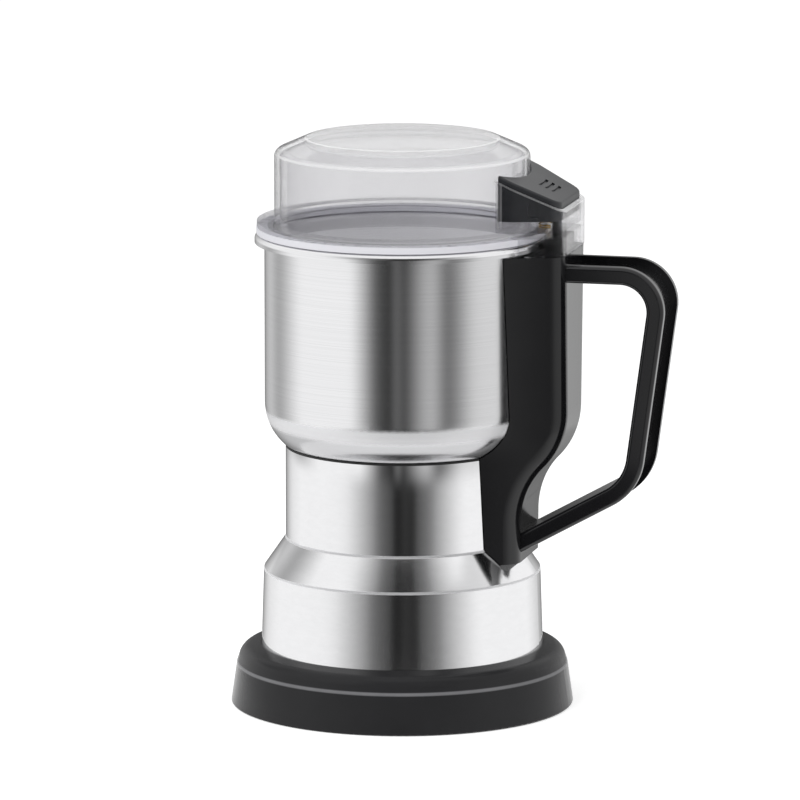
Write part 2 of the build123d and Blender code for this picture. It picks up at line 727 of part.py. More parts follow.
def bowl_screws():
    """Screws through the bowl's bottom into the upper bracket."""
    piece = Rot(2 * QUARTER_TURN, 0, 0) * screw(BOWL_SCREW_R, BRACKET_WALL)
    return round_about(Pos(BOWL_SCREW_RING_R, 0, Z_BOWL + SHEET) * piece, BOWL_SCREW_COUNT)


# Lid


def plan_face(end_x, grow, corner):
    """Plan outline of the column's end, grown sideways, with its outer corners rounded."""
    inner_x = FLARE_R / 2
    end_half = END_HALF + grow - (end_x - COLUMN_R) * FLARE_SHARE
    half = HOUSING_HALF + grow - HOUSING_PROUD
    bend_x = end_x - (half - end_half) / FLARE_SHARE
    one_side = [(inner_x, half), (bend_x, half, HOUSING_ROUND), (end_x, end_half, corner)]
    flat = one_side + [(x, -y, *rounding) for x, y, *rounding in one_side[::-1]]
    return Rot(-QUARTER_TURN, 0, 0) * outline_face(flat)


def plan_prism(end_x, grow, corner, low, high):
    """Upright prism on the column's plan outline."""
    return extrude(Pos(0, 0, low) * plan_face(end_x, grow, corner), amount=high - low, dir=(0, 0, 1))


def slant_plane(lift):
    """Sloping plane of the housing's rim, lifted by a distance."""
    slope = math.radians(HOUSING_SLANT)
    normal = (math.sin(slope), 0, math.cos(slope))
    return Plane(origin=(LID_R, 0, Z_HOUSING_TOP + lift), z_dir=normal)


def switch_housing():
    """Clear housing on the lid: floor, walls round the button and skirt round the column's head."""
    inset = -HOUSING_WALL
    outer = plan_prism(HOUSING_R, HOUSING_PROUD, HOUSING_ROUND, Z_HOUSING_LOW, Z_LID_TOP)
    outer = split(outer, slant_plane(0), Keep.BOTTOM)
    inner_r = HOUSING_R - HOUSING_WALL
    inner_round = HOUSING_ROUND - HOUSING_WALL
    upper = plan_prism(inner_r, HOUSING_PROUD + inset, inner_round, Z_FLANGE_TOP, Z_LID_TOP)
    lower = plan_prism(inner_r, HOUSING_PROUD + inset, inner_round, Z_HOUSING_LOW - OVERRUN, Z_FLANGE)
    lower -= upright(LID_R, Z_HOUSING_LOW - OVERRUN, Z_FLANGE)
    rim_room = upright(RIM_R + MOVE_GAP, Z_HOUSING_LOW - OVERRUN, Z_FLANGE)
    hole = Pos(ROD_X, 0, 0) * upright(PLUNGER_R + MOVE_GAP, Z_FLANGE - OVERRUN, Z_FLANGE_TOP + OVERRUN)
    return outer - upper - lower - rim_room - hole + lug_ledges()


def lug_span():
    """Heights of the ledges above the button's lugs."""
    low = Z_BUTTON_LOW + LUG_HEIGHT + PRESS_GAP
    return low, low + LUG_HEIGHT


def lug_ledges():
    """Two small ledges on the housing's side walls that keep the button in."""
    low, high = lug_span()
    strip = bar((ROD_X - LUG_LENGTH, ROD_X - LUG_LENGTH / 2), (-BOWL_R, BOWL_R), (low, high))
    middle = HOUSING_WALL / 2
    outside = plan_prism(HOUSING_R - middle, HOUSING_PROUD - middle, HOUSING_ROUND, low, high)
    reach = HOUSING_PROUD - HOUSING_WALL - LUG_REACH
    inside = plan_prism(HOUSING_R, reach, HOUSING_ROUND, low - OVERRUN, high + OVERRUN)
    return (strip & outside) - inside


def lid_shell():
    """Clear lid: wall, sloping shoulder, flat top, flange, spigot and switch housing."""
    path = [
        (LID_R, Z_FLANGE),
        (LID_R, Z_LID_SHOULDER, LID_EDGE),
        (LID_TOP_R, Z_LID_TOP, LID_EDGE),
        (0, Z_LID_TOP),
    ]
    inside_r = LID_R - LID_WALL
    room = upright(LID_R - LID_WALL / 2, Z_HOUSING_LOW - OVERRUN, Z_LID_TOP)
    shape = turned(sheet(path, LID_WALL))
    shape += ring(FLANGE_R, inside_r, Z_FLANGE, Z_FLANGE_TOP)
    spigot_low = Z_FLANGE - SPIGOT_DEPTH - SEAL_HEIGHT
    shape += ring(SPIGOT_R, SPIGOT_R - SPIGOT_WALL, spigot_low, Z_FLANGE + FLANGE_WALL / 2)
    return shape + (switch_housing() - room)


def lid_seal():
    """White ring under the lid's flange."""
    return ring(SEAL_R, SPIGOT_R + SEAT_GAP, Z_RIM + SEAL_SQUEEZE_GAP, Z_FLANGE)


def button():
    """Sloping press button: cap, skirt, spring posts, plunger boss, lugs and three grip grooves."""
    end_x = HOUSING_R - HOUSING_WALL - BUTTON_GAP
    grow = HOUSING_PROUD - HOUSING_WALL - BUTTON_GAP
    corner = HOUSING_ROUND - HOUSING_WALL
    lid_room = upright(LID_R + BUTTON_GAP, 0, Z_LID_TOP + OVERRUN)
    cap = plan_prism(end_x, grow, corner, Z_BUTTON_LOW, Z_LID_TOP)
    cap = split(cap, slant_plane(BUTTON_PROUD), Keep.BOTTOM)
    slope_axis = Axis((0, 0, 0), slant_plane(0).z_dir)
    top = cap.faces().filter_by(slope_axis).sort_by(slope_axis)[-1]
    cap = fillet(top.edges().sort_by(Axis.X)[1:], BUTTON_EDGE)
    core = plan_prism(end_x - BUTTON_WALL, grow - BUTTON_WALL, corner, Z_BUTTON_LOW - OVERRUN, Z_LID_TOP)
    core = split(core, slant_plane(BUTTON_PROUD - BUTTON_WALL), Keep.BOTTOM)
    core -= upright(LID_R + BUTTON_GAP + BUTTON_WALL, 0, Z_LID_TOP + OVERRUN)
    inside = core
    cap = cap - lid_room - core
    for side in (-1, 1):
        post = upright(SPRING_POST_R, Z_FLANGE_TOP + SPRING_LENGTH + SEAT_GAP, Z_LID_TOP)
        cap += (Pos(ROD_X - SPRING_IN, side * SPRING_SIDE, 0) * post) & inside
    boss = upright(PLUNGER_R + PLUNGER_BOSS_WALL, Z_BUTTON_LOW, Z_LID_TOP)
    cap += (Pos(ROD_X, 0, 0) * boss) & inside
    cap -= Pos(ROD_X, 0, 0) * upright(PLUNGER_R + SEAT_GAP, 0, plunger_top() + SEAT_GAP)
    return cap - lug_relief(grow) + button_lugs(grow) - grip_grooves()


def button_lugs(grow):
    """Two lugs on the button's sides that rise against the housing's ledges."""
    low, high = Z_BUTTON_LOW, Z_BUTTON_LOW + LUG_HEIGHT
    strip = bar((ROD_X - LUG_LENGTH, ROD_X - LUG_LENGTH / 2), (-BOWL_R, BOWL_R), (low, high))
    outside = plan_prism(HOUSING_R, HOUSING_PROUD - HOUSING_WALL - MOVE_GAP / 2, HOUSING_ROUND, low, high)
    inside = plan_prism(HOUSING_R, grow - BUTTON_WALL / 2, HOUSING_ROUND, low - OVERRUN, high + OVERRUN)
    return (strip & outside) - inside


def lug_relief(grow):
    """Slots in the button's sides in which the housing's ledges run."""
    low = Z_BUTTON_LOW + LUG_HEIGHT
    high = lug_span()[1] + PRESS_TRAVEL + MOVE_GAP
    span_x = (ROD_X - LUG_LENGTH - MOVE_GAP, ROD_X - LUG_LENGTH / 2 + MOVE_GAP)
    depth = LUG_REACH - BUTTON_GAP + MOVE_GAP
    strip = bar(span_x, (-BOWL_R, BOWL_R), (low, high))
    return strip - plan_prism(HOUSING_R, grow - depth, HOUSING_ROUND, low - OVERRUN, high + OVERRUN)


def grip_grooves():
    """Three short curved grooves in the button's top."""
    grooves = []
    middle = ROD_X - GRIP_PITCH
    for step in range(GRIP_COUNT):
        radius = middle + (step - 1) * GRIP_PITCH
        curve = ring(radius + GRIP_WIDTH / 2, radius - GRIP_WIDTH / 2, Z_FLANGE_TOP, Z_LID_TOP)
        piece = curve & bar((0, HOUSING_R), (-GRIP_HALF, GRIP_HALF), (Z_FLANGE_TOP, Z_LID_TOP))
        grooves.append(split(piece, slant_plane(BUTTON_PROUD - GRIP_DEPTH), Keep.TOP))
    return grooves


def plunger_top():
    """Height of the plunger's top inside its boss."""
    return Z_BUTTON_LOW + PLUNGER_R * 2


def plunger():
    """Round pin under the button that pushes the rod."""
    return Pos(ROD_X, 0, 0) * upright(PLUNGER_R, Z_PLUNGER_LOW, plunger_top())


def button_springs():
    """Two springs between the housing's floor and the button."""
    spring = coil_spring("button_springs", SPRING_MEAN_R, SPRING_WIRE, SPRING_LENGTH, SPRING_PITCH)
    places = [(ROD_X - SPRING_IN, side * SPRING_SIDE) for side in (-1, 1)]
    return [Pos(x, y, Z_FLANGE_TOP) * spring for x, y in places]


# Column and handle


def column_block(inset):
    """Column behind which the shell and the bowl are cut away, drawn in by an inset."""
    return column_solid(inset) - body_envelope(COLUMN_GAP + inset)


def column_solid(inset):
    """Solid column: end face with an S-bend down to a foot on the neck, drawn in by an inset."""
    end_x = COLUMN_R - inset
    foot_x = COLUMN_FOOT_R - inset
    low, top = Z_COLUMN_LOW + inset, Z_COLUMN_TOP - inset
    bend = ((end_x + foot_x) / 2, (Z_BEND_TOP + Z_BEND_LOW) / 2)
    inner_x = FLARE_R / 2
    bend_low = Vector(foot_x, 0, Z_BEND_LOW)
    bend_middle = Vector(bend[0], 0, bend[1])
    bend_top = Vector(end_x, 0, Z_BEND_TOP)
    up = Vector(0, 0, 1)
    edges = [
        Line((inner_x, 0, low), (foot_x, 0, low)),
        Line((foot_x, 0, low), bend_low),
        TangentArc(bend_low, bend_middle, tangent=up),
        TangentArc(bend_top, bend_middle, tangent=up * -1),
        Line(bend_top, (end_x, 0, top)),
        Line((end_x, 0, top), (inner_x, 0, top)),
        Line((inner_x, 0, top), (inner_x, 0, low)),
    ]
    block = extrude(make_face(edges), amount=BOWL_R, dir=(0, 1, 0), both=True)
    for side in (-1, 1):
        block = split(block, column_side(side, inset), Keep.BOTTOM)
    sides = [face for face in block.faces() if face.geom_type == GeomType.PLANE and has_side_normal(face)]
    corners = [edge for face in sides for edge in face.edges() if is_corner(edge, inner_x, low, top)]
    block = fillet(corners, max(COLUMN_ROUND - inset, SHEET))
    return block


def column_side(side, inset):
    """Plane of one flared side of the column, facing outwards."""
    end = Vector(COLUMN_R, side * END_HALF, Z_COLUMN_TOP)
    rear = Vector(FLARE_R, side * BOWL_HALF, Z_COLUMN_TOP)
    foot = Vector(COLUMN_FOOT_R, side * FOOT_HALF, Z_COLUMN_LOW)
    normal = (rear - end).cross(foot - end).normalized()
    if normal.Y * side < 0:
        normal = normal * -1
    return Plane(origin=end - normal * inset, z_dir=normal)


def has_side_normal(face):
    """Whether a flat face looks sideways, as the column's flared sides do."""
    normal = face.normal_at()
    return abs(normal.Y) > abs(normal.X) and abs(normal.Y) > abs(normal.Z)


def is_corner(edge, inner_x, low, top):
    """Whether an edge of a flared side runs down the column's outer end."""
    middle = edge @ HALF_TURN_SHARE
    return low + SHEET < middle.Z < top - SHEET and middle.X > inner_x + SHEET


def handle_path():
    """Outer edge of the handle, from its foot up and back to the column."""
    arm_top = Z_COLUMN_TOP - ARM_DROP
    foot = Vector(COLUMN_FOOT_R, 0, Z_NECK_FOOT - FOOT_ARM_DROP)
    elbow = Vector(COLUMN_R + GRIP_REACH - GRIP_LEAN, 0, Z_NECK_FOOT + ELBOW_RISE)
    inside = foot - (elbow - foot).normalized() * ARM_EMBED
    return [
        (inside.X, inside.Z),
        (elbow.X, elbow.Z, GRIP_LOW_ROUND),
        (COLUMN_R + GRIP_REACH, arm_top, GRIP_TOP_ROUND),
        (COLUMN_R - ARM_EMBED, arm_top),
    ]


def handle_loop():
    """Flat handle bar with a channel along its outer face."""
    path = handle_path()
    half = GRIP_WIDE / 2
    loop = extrude(outline_face(sheet(path, GRIP_THICKNESS)), amount=half, dir=(0, 1, 0), both=True)
    rims = [edge for edge in loop.edges() if abs(abs((edge @ HALF_TURN_SHARE).Y) - half) < SEAT_GAP]
    long_rims = [edge for edge in rims if edge.length > 2 * GRIP_THICKNESS]
    loop = fillet(long_rims, GRIP_EDGE)
    channel = shifted(path, -OVERRUN) + shifted(path, CHANNEL_DEPTH)[::-1]
    cut = extrude(outline_face(channel), amount=half - CHANNEL_LAND, dir=(0, 1, 0), both=True)
    return loop - cut


def column_head():
    """Raised head on the column that guides the plunger under the lid housing."""
    end_x = COLUMN_R - HEAD_WALL
    span = (RIM_R + 2 * MOVE_GAP, end_x)
    return bar(span, (-HEAD_HALF, HEAD_HALF), (Z_COLUMN_TOP - COLUMN_WALL / 2, Z_HEAD_TOP))


def cover_recess(gap, depth):
    """Skin of the column's end face within the cover plate's outline."""
    half = COVER_PLATE_HALF + gap
    window = bar((0, COLUMN_R), (-half, half), (Z_COVER_PLATE - gap, Z_COVER_PLATE + COVER_PLATE_HEIGHT + gap))
    return (column_solid(0) - column_solid(depth)) & window


def handle_screw_places():
    """Places, in the XZ plane, of the screws that join the two handle halves."""
    upper = (COLUMN_IN_R + UPPER_SCREW_IN - COLUMN_WALL, Z_SWITCH_TOP + UPPER_SCREW_RISE)
    lower = (COLUMN_IN_R - COLUMN_WALL + LOWER_SCREW_IN, Z_TERMINAL - LOWER_SCREW_DROP)
    return [upper, lower]


def column_body():
    """Column and handle in one, hollow, with shelves, bosses and bores, before it is halved."""
    hollow = column_block(COLUMN_WALL)
    body = column_block(0) + handle_loop() + column_head() - hollow
    for low in (Z_SHELF_LOW, Z_SHELF_TOP):
        body += hollow & bar((0, COLUMN_R), (-BOWL_R, BOWL_R), (low, low + SHELF))
    switch_shelf = bar((0, COLUMN_R), (-SWITCH_LONG / 2, SWITCH_LONG / 2), (Z_SWITCH - SHELF, Z_SWITCH))
    body += hollow & switch_shelf
    for x, z in handle_screw_places():
        boss = along_y(upright(HANDLE_BOSS_R, -BOWL_R, BOWL_R), x, 0, z)
        body += hollow & boss
    body -= cover_recess(SEAT_GAP, COVER_PLATE_WALL + SEAT_GAP)
    for x, z in handle_screw_places():
        body -= handle_screw_bore(x, z)
    body -= Pos(ROD_X, 0, 0) * upright(ROD_R + MOVE_GAP, Z_SWITCH_TOP, Z_ROD_TOP)
    pressed = Z_ROD_TOP - PRESS_TRAVEL - OVERRUN
    body -= Pos(ROD_X, 0, 0) * upright(PLUNGER_R + MOVE_GAP, pressed, Z_HEAD_TOP + OVERRUN)
    return body - neck_holes(SEAT_GAP) - foot_screw_room() - stud_holes() - terminal_slots()


def handle_screw_bore(x, z):
    """Bore of a handle screw, with a wide mouth at the rear for its head."""
    seat = HANDLE_SCREW_SEAT
    tip = seat - HANDLE_SCREW_LENGTH - SEAT_GAP
    shank = along_y(upright(HANDLE_SCREW_R + SHAFT_PLAY, tip, seat + OVERRUN), x, 0, z)
    mouth = along_y(upright(HANDLE_SCREW_R * HEAD_R_SHARE + SEAT_GAP, seat, BOWL_R), x, 0, z)
    return shank + mouth


def foot_screw_room():
    """Pocket for the foot screw's head, under the cover plate."""
    head_r = FOOT_SCREW_R * HEAD_R_SHARE + SEAT_GAP
    return along_x(upright(head_r, foot_screw_x(), COLUMN_R), 0, 0, Z_FOOT_SCREW)


def foot_screw_x():
    """Distance from the axis of the seat under the foot screw's head."""
    return NECK_R + COLUMN_GAP + COLUMN_WALL


def stud_heights():
    """Heights of the two studs on the bowl."""
    return [Z_SWITCH_TOP + STUD_RISE, Z_COLUMN_TOP - STUD_DROP]


def stud_holes():
    """Holes in the column's inner wall for the bowl's studs."""
    low, high = [along_x(upright(STUD_R + SEAT_GAP, 0, COLUMN_IN_R + OVERRUN), 0, 0, z) for z in stud_heights()]
    return low + high


def terminal_slots():
    """Slots in the switch's shelf for its terminals."""
    half_x = TERMINAL_WALL / 2 + MOVE_GAP
    half_y = TERMINAL_WIDE / 2 + MOVE_GAP
    slots = []
    for side in (-1, 1):
        middle = side * TERMINAL_SIDE
        span_z = (Z_SWITCH - SHELF - OVERRUN, Z_SWITCH + SEAT_GAP)
        slots.append(bar((SWITCH_X - half_x, SWITCH_X + half_x), (middle - half_y, middle + half_y), span_z))
    return slots[0] + slots[1]


def handle_side(low_y, high_y):
    """Box round the whole column and handle between two places along Y."""
    return bar((0, COLUMN_R + GRIP_REACH + OVERRUN), (low_y, high_y), (0, Z_RIM + OVERRUN + SEAL_HEIGHT))


def handle_front():
    """Front half of the column and handle."""
    return COLUMN_BODY & handle_side(-BOWL_R, 0)


def handle_rear():
    """Rear half of the column and handle."""
    return COLUMN_BODY & handle_side(0, BOWL_R)


def cover_plate():
    """Small cover set into the column over the foot screw."""
    return cover_recess(0, COVER_PLATE_WALL)


def handle_screws():
    """Screws that join the handle halves, driven from the rear."""
    piece = screw(HANDLE_SCREW_R, HANDLE_SCREW_LENGTH)
    return [against_y(piece, x, HANDLE_SCREW_SEAT, z) for x, z in handle_screw_places()]


def foot_screw():
    """Screw under the cover plate that ties the column to the neck."""
    length = foot_screw_x() - (NECK_R - SHEET - NUT_WALL - SEAT_GAP)
    return against_x(screw(FOOT_SCREW_R, length), foot_screw_x(), 0, Z_FOOT_SCREW)


def hex_nut(bore_r):
    """Hexagon nut that stands on Z = 0."""
    outline = RegularPolygon(NUT_R, HEX_SIDES) - Circle(bore_r + SHAFT_PLAY)
    return extrude(outline, amount=NUT_WALL)


def foot_nut():
    """Nut inside the neck on the foot screw."""
    sag = NECK_R - SHEET - math.sqrt((NECK_R - SHEET) ** 2 - NUT_R ** 2)
    return against_x(hex_nut(FOOT_SCREW_R), NECK_R - SHEET - sag - SEAT_GAP, 0, Z_FOOT_SCREW)


def column_studs():
    """Two studs welded to the bowl that hold the column."""
    return [along_x(upright(STUD_R, 0, STUD_LENGTH), BOWL_R, 0, z) for z in stud_heights()]


def stud_nuts():
    """Nuts on the bowl's studs, inside the column."""
    return [along_x(hex_nut(STUD_R), COLUMN_IN_R, 0, z) for z in stud_heights()]


# Push chain and switch


def push_rod():
    """Long rod from the plunger to the switch lever, with a spring collar and a round tip."""
    rod = upright(ROD_R, Z_ROD_LOW + ROD_R, Z_ROD_TOP) + Pos(0, 0, Z_ROD_LOW + ROD_R) * Sphere(ROD_R)
    rod += upright(ROD_COLLAR_R, Z_ROD_COLLAR + SEAT_GAP, Z_ROD_COLLAR + ROD_COLLAR_HEIGHT)
    return Pos(ROD_X, 0, 0) * rod


def push_rod_spring():
    """Spring that lifts the rod."""
    mean_r = (ROD_R + ROD_COLLAR_R + MOVE_GAP / 2) / 2
    spring = coil_spring("push_rod_spring", mean_r, MOVE_GAP, ROD_SPRING_LENGTH, ROD_SPRING_PITCH)
    return Pos(ROD_X, 0, Z_SHELF_LOW + SHELF) * spring


def pivot_y():
    """Place of the lever's pivot along the switch."""
    return -LEVER_ARM


def microswitch():
    """Switch case with two ears that carry its lever."""
    half_x, half_y = SWITCH_WIDE / 2, SWITCH_LONG / 2
    case = bar((-half_x, half_x), (-half_y, half_y), (Z_SWITCH, Z_SWITCH_TOP))
    case = fillet(case.edges().filter_by(Axis.Z), EAR_WALL)
    ear_in = LEVER_WIDE / 2 + MOVE_GAP / 2
    for side in (-1, 1):
        span = sorted((side * ear_in, side * (ear_in + EAR_WALL)))
        ear_y = (pivot_y() - BARREL_R, pivot_y() + BARREL_R)
        case += bar(span, ear_y, (Z_SWITCH_TOP - OVERRUN, Z_SWITCH_TOP + EAR_HEIGHT))
    bore = along_x(upright(PIVOT_R + SHAFT_PLAY, -half_x - OVERRUN, half_x + OVERRUN), 0, pivot_y(), Z_PIVOT)
    return Pos(SWITCH_X, 0, 0) * (case - bore)


def switch_lever():
    """Sprung strip on the switch that the rod presses down."""
    half = LEVER_WIDE / 2
    pin = half + MOVE_GAP / 2 + EAR_WALL
    strip = bar((-half, half), (0, LEVER_ARM + LEVER_TAIL), (0, LEVER_WALL))
    barrel = along_x(upright(BARREL_R, -half, half), 0, 0, 0)
    pins = along_x(upright(PIVOT_R, -pin, pin), 0, 0, 0)
    return Pos(SWITCH_X, pivot_y(), Z_PIVOT) * Rot(LEVER_REST, 0, 0) * (strip + barrel + pins)


def switch_terminals():
    """Two brass tabs under the switch."""
    half_x, half_y = TERMINAL_WALL / 2, TERMINAL_WIDE / 2
    tab = bar((SWITCH_X - half_x, SWITCH_X + half_x), (-half_y, half_y), (Z_TERMINAL, Z_SWITCH))
    return [Pos(0, side * TERMINAL_SIDE, 0) * tab for side in (-1, 1)]


def switch_leads():
    """Two insulated leads from the switch through the neck to the field coils."""
    fall_x = NECK_R + COLUMN_GAP + COLUMN_WALL + 2 * LEAD_R
    coil_y = (COIL_NEAR + COIL_FAR) / 2
    coil_top = Z_STATOR_TOP + COIL_WALL + SEAT_GAP
    leads = []
    for side in (-1, 1):
        y = side * TERMINAL_SIDE
        route = [
            (SWITCH_X, y, Z_TERMINAL),
            (SWITCH_X, y, Z_TERMINAL - LEAD_BEND - LEAD_R),
            (fall_x, y, Z_NECK_TOP - LEAD_BEND),
            (fall_x, y, Z_LEAD),
            (STATOR_R, y, Z_LEAD),
            (POLE_WIDE / 2, side * coil_y, Z_LEAD),
            (POLE_WIDE / 2, side * coil_y, coil_top),
        ]
        path = FilletPolyline(*route, radius=LEAD_BEND)
        leads.append(sweep(Plane(origin=path @ 0, z_dir=path % 0) * Circle(LEAD_R), path=path))
    return leads


def lead_grommets():
    """Rubber bushes where the leads pass through the neck."""
    outer_x = NECK_R + COLUMN_GAP + COLUMN_WALL / 2
    inner_x = NECK_R - SHEET - GROMMET_LIP
    body = upright(LEAD_R + GROMMET_WALL, inner_x, outer_x)
    body -= upright(LEAD_R + SEAT_GAP, inner_x - OVERRUN, outer_x + OVERRUN)
    return [along_x(body, 0, side * TERMINAL_SIDE, Z_LEAD) for side in (-1, 1)]


# Motor


def bearing(low):
    """Ball bearing as its inner race, balls' shield and outer race in one ring."""
    inner = SHAFT_R + SHAFT_PLAY
    shape = ring(BEARING_R, inner, low, low + BEARING_WIDE)
    groove = ring(BEARING_R - BEARING_RACE, inner + BEARING_RACE, low - OVERRUN, low + SHEET)
    return shape - groove - Pos(0, 0, BEARING_WIDE + OVERRUN - SHEET) * groove


def lower_bearing():
    """Bearing at the bottom of the motor."""
    return bearing(Z_LOWER_BOSS + BEARING_LIP)


def upper_bearing():
    """Bearing under the bowl."""
    return bearing(Z_UPPER_BRACKET - BEARING_WIDE)


def bearing_pocket(low, open_high):
    """Room for a bearing and its shaft in a bracket."""
    pocket = upright(BEARING_R + SHAFT_PLAY, low, open_high)
    return pocket + upright(SHAFT_R + BEARING_RACE, low - BRACKET_WALL - BEARING_WIDE, open_high + BRACKET_WALL)


def bolt_holes(low, high):
    """Holes for the two long motor bolts."""
    hole = upright(MOTOR_BOLT_R + SEAT_GAP, low - OVERRUN, high + OVERRUN)
    return Pos(BOLT_X, 0, 0) * hole + Pos(-BOLT_X, 0, 0) * hole


def lower_bracket():
    """Motor's lower bracket on the base's ledge, with a bearing boss and air windows."""
    boss_r = BEARING_R + BRACKET_BOSS_WALL
    plate = upright(LOWER_BRACKET_R, Z_LOWER_BRACKET, Z_LOWER_TOP) + upright(boss_r, Z_LOWER_BOSS, Z_LOWER_TOP)
    plate -= bearing_pocket(Z_LOWER_BOSS + BEARING_LIP, Z_LOWER_TOP + OVERRUN)
    hole = Pos(FRAME_SCREW_RING_R, 0, 0) * upright(FRAME_SCREW_R + SHAFT_PLAY, 0, Z_LOWER_TOP + OVERRUN)
    window_r = (boss_r + BOLT_X - SPACER_R) / 2
    window = Pos(window_r, 0, 0) * upright(SPACER_R, Z_LOWER_BRACKET - OVERRUN, Z_LOWER_TOP + OVERRUN)
    for piece in round_about(hole, FIXING_COUNT) + round_about(window, FIXING_COUNT, HALF_FIXING):
        plate -= piece
    return plate - bolt_holes(Z_LOWER_BRACKET, Z_LOWER_TOP)


def upper_bracket():
    """Motor's upper bracket under the bowl, with a bearing boss and a hub through the bowl."""
    boss_r = BEARING_R + BRACKET_BOSS_WALL
    low = Z_UPPER_BRACKET - BEARING_WIDE
    plate = upright(UPPER_BRACKET_WEB_R, Z_UPPER_BRACKET, Z_BOWL)
    arm_half = SPACER_R + SEAT_RING_WALL
    plate += bar((-BOLT_X, BOLT_X), (-arm_half, arm_half), (Z_UPPER_BRACKET, Z_BOWL))
    for side in (-1, 1):
        plate += Pos(side * BOLT_X, 0, 0) * upright(arm_half, Z_UPPER_BRACKET, Z_BOWL)
    plate += upright(boss_r, low, Z_BOWL) + upright(HUB_R, Z_BOWL - BRACKET_WALL, Z_HUB_TOP)
    plate &= upright(UPPER_BRACKET_R, low, Z_HUB_TOP)
    plate -= upright(BEARING_R + SHAFT_PLAY, low - OVERRUN, Z_UPPER_BRACKET)
    plate -= upright(SHAFT_R + BEARING_RACE, low, Z_HUB_TOP + OVERRUN)
    plate -= upright(SHAFT_R + SEAL_RING_WALL + SEAT_GAP, Z_HUB_TOP - SEAL_RING_HEIGHT, Z_HUB_TOP + OVERRUN)
    pilot = upright(BOWL_SCREW_R + SHAFT_PLAY, Z_UPPER_BRACKET - OVERRUN, Z_BOWL + OVERRUN)
    pilot = Pos(BOWL_SCREW_RING_R, 0, 0) * pilot
    for piece in round_about(pilot, BOWL_SCREW_COUNT):
        plate -= piece
    return plate - bolt_holes(Z_UPPER_BRACKET, Z_BOWL) - bowl_envelope(0) + hub_stub()


def hub_stub():
    """Hub wall that stands in the bowl round the shaft seal."""
    bore = SHAFT_R + SEAL_RING_WALL + SEAT_GAP
    low = Z_HUB_TOP - SEAL_RING_HEIGHT
    hub = upright(HUB_R, Z_BOWL - BRACKET_WALL, Z_HUB_TOP)
    return hub - upright(bore, low, Z_HUB_TOP + OVERRUN) - upright(SHAFT_R + BEARING_RACE, 0, Z_HUB_TOP)


def shaft_seal():
    """Rubber ring round the shaft in the hub."""
    outer = SHAFT_R + SEAL_RING_WALL
    return ring(outer, SHAFT_R + SHAFT_PLAY, Z_HUB_TOP - SEAL_RING_HEIGHT, Z_HUB_TOP)


def damper_washers():
    """Rubber washers between the lower bracket and the base."""
    piece = ring(DAMPER_R, FRAME_SCREW_R + SEAT_GAP, Z_DAMPER, Z_LOWER_BRACKET)
    return round_about(Pos(FRAME_SCREW_RING_R, 0, 0) * piece, FIXING_COUNT)


def frame_screws():
    """Screws from under the base's ledge into the lower bracket."""
    seat = BASE_HEIGHT - BASE_WALL
    piece = Pos(FRAME_SCREW_RING_R, 0, seat) * screw(FRAME_SCREW_R, Z_LOWER_TOP - seat)
    return round_about(piece, FIXING_COUNT)


def stator_core():
    """Laminated stator with two poles."""
    bore = ROTOR_R + AIR_GAP
    half = POLE_WIDE / 2
    core = ring(STATOR_R, STATOR_R - STATOR_RING, Z_STATOR, Z_STATOR_TOP)
    pole_end = STATOR_R - STATOR_RING / 2
    core += bar((-half, half), (-pole_end, pole_end), (Z_STATOR, Z_STATOR_TOP))
    return core - upright(bore, Z_STATOR - OVERRUN, Z_STATOR_TOP + OVERRUN) - bolt_holes(Z_STATOR, Z_STATOR_TOP)


def field_coils():
    """Two copper field coils, one round each pole."""
    inner_x = COIL_HALF - COIL_WALL
    low, high = Z_STATOR - SEAT_GAP, Z_STATOR_TOP + SEAT_GAP
    loop = bar((-COIL_HALF, COIL_HALF), (COIL_NEAR, COIL_FAR), (low - COIL_WALL, high + COIL_WALL))
    loop = fillet(loop.edges().filter_by(Axis.Y), COIL_WALL)
    loop -= bar((-inner_x, inner_x), (COIL_NEAR - OVERRUN, COIL_FAR + OVERRUN), (low, high))
    return round_about(loop, 2)


def motor_bolts():
    """Two long bolts that clamp the brackets and the stator."""
    seat = Z_LOWER_BRACKET
    return [Pos(side * BOLT_X, 0, seat) * screw(MOTOR_BOLT_R, Z_BOWL - SHEET - seat) for side in (-1, 1)]


def motor_spacers():
    """Tubes on the long bolts between the stator and the brackets."""
    bore = MOTOR_BOLT_R + SEAT_GAP
    tubes = []
    for side in (-1, 1):
        for low, high in ((Z_LOWER_TOP, Z_STATOR), (Z_STATOR_TOP, Z_UPPER_BRACKET)):
            tubes.append(Pos(side * BOLT_X, 0, 0) * ring(SPACER_R, bore, low, high))
    return tubes


def brush_reach():
    """Distances from the axis of a brush's two ends and of its holder's outer end."""
    near = COMMUTATOR_R + PRESS_GAP
    return near, near + BRUSH_LONG, near + BRUSH_LONG + BRUSH_SPRING_LENGTH


def brush_holders():
    """Two brass guides on the lower bracket that hold the brushes."""
    near, far, end = brush_reach()
    half = BRUSH_WIDE / 2
    tall = BRUSH_TALL / 2
    wide = half + SEAT_GAP + HOLDER_WALL
    holder_top = Z_BRUSH + tall + HOLDER_WALL
    block = bar((-wide, wide), (near + HOLDER_WALL, end + HOLDER_WALL), (Z_LOWER_TOP, holder_top))
    slot_x = (-half - SEAT_GAP, half + SEAT_GAP)
    block -= bar(slot_x, (near, end), (Z_BRUSH - tall - SEAT_GAP, Z_BRUSH + tall + SEAT_GAP))
    return round_about(block, 2)


def carbon_brushes():
    """Two carbon brushes on the commutator."""
    near, far, end = brush_reach()
    half, tall = BRUSH_WIDE / 2, BRUSH_TALL / 2
    return round_about(bar((-half, half), (near, far), (Z_BRUSH - tall, Z_BRUSH + tall)), 2)


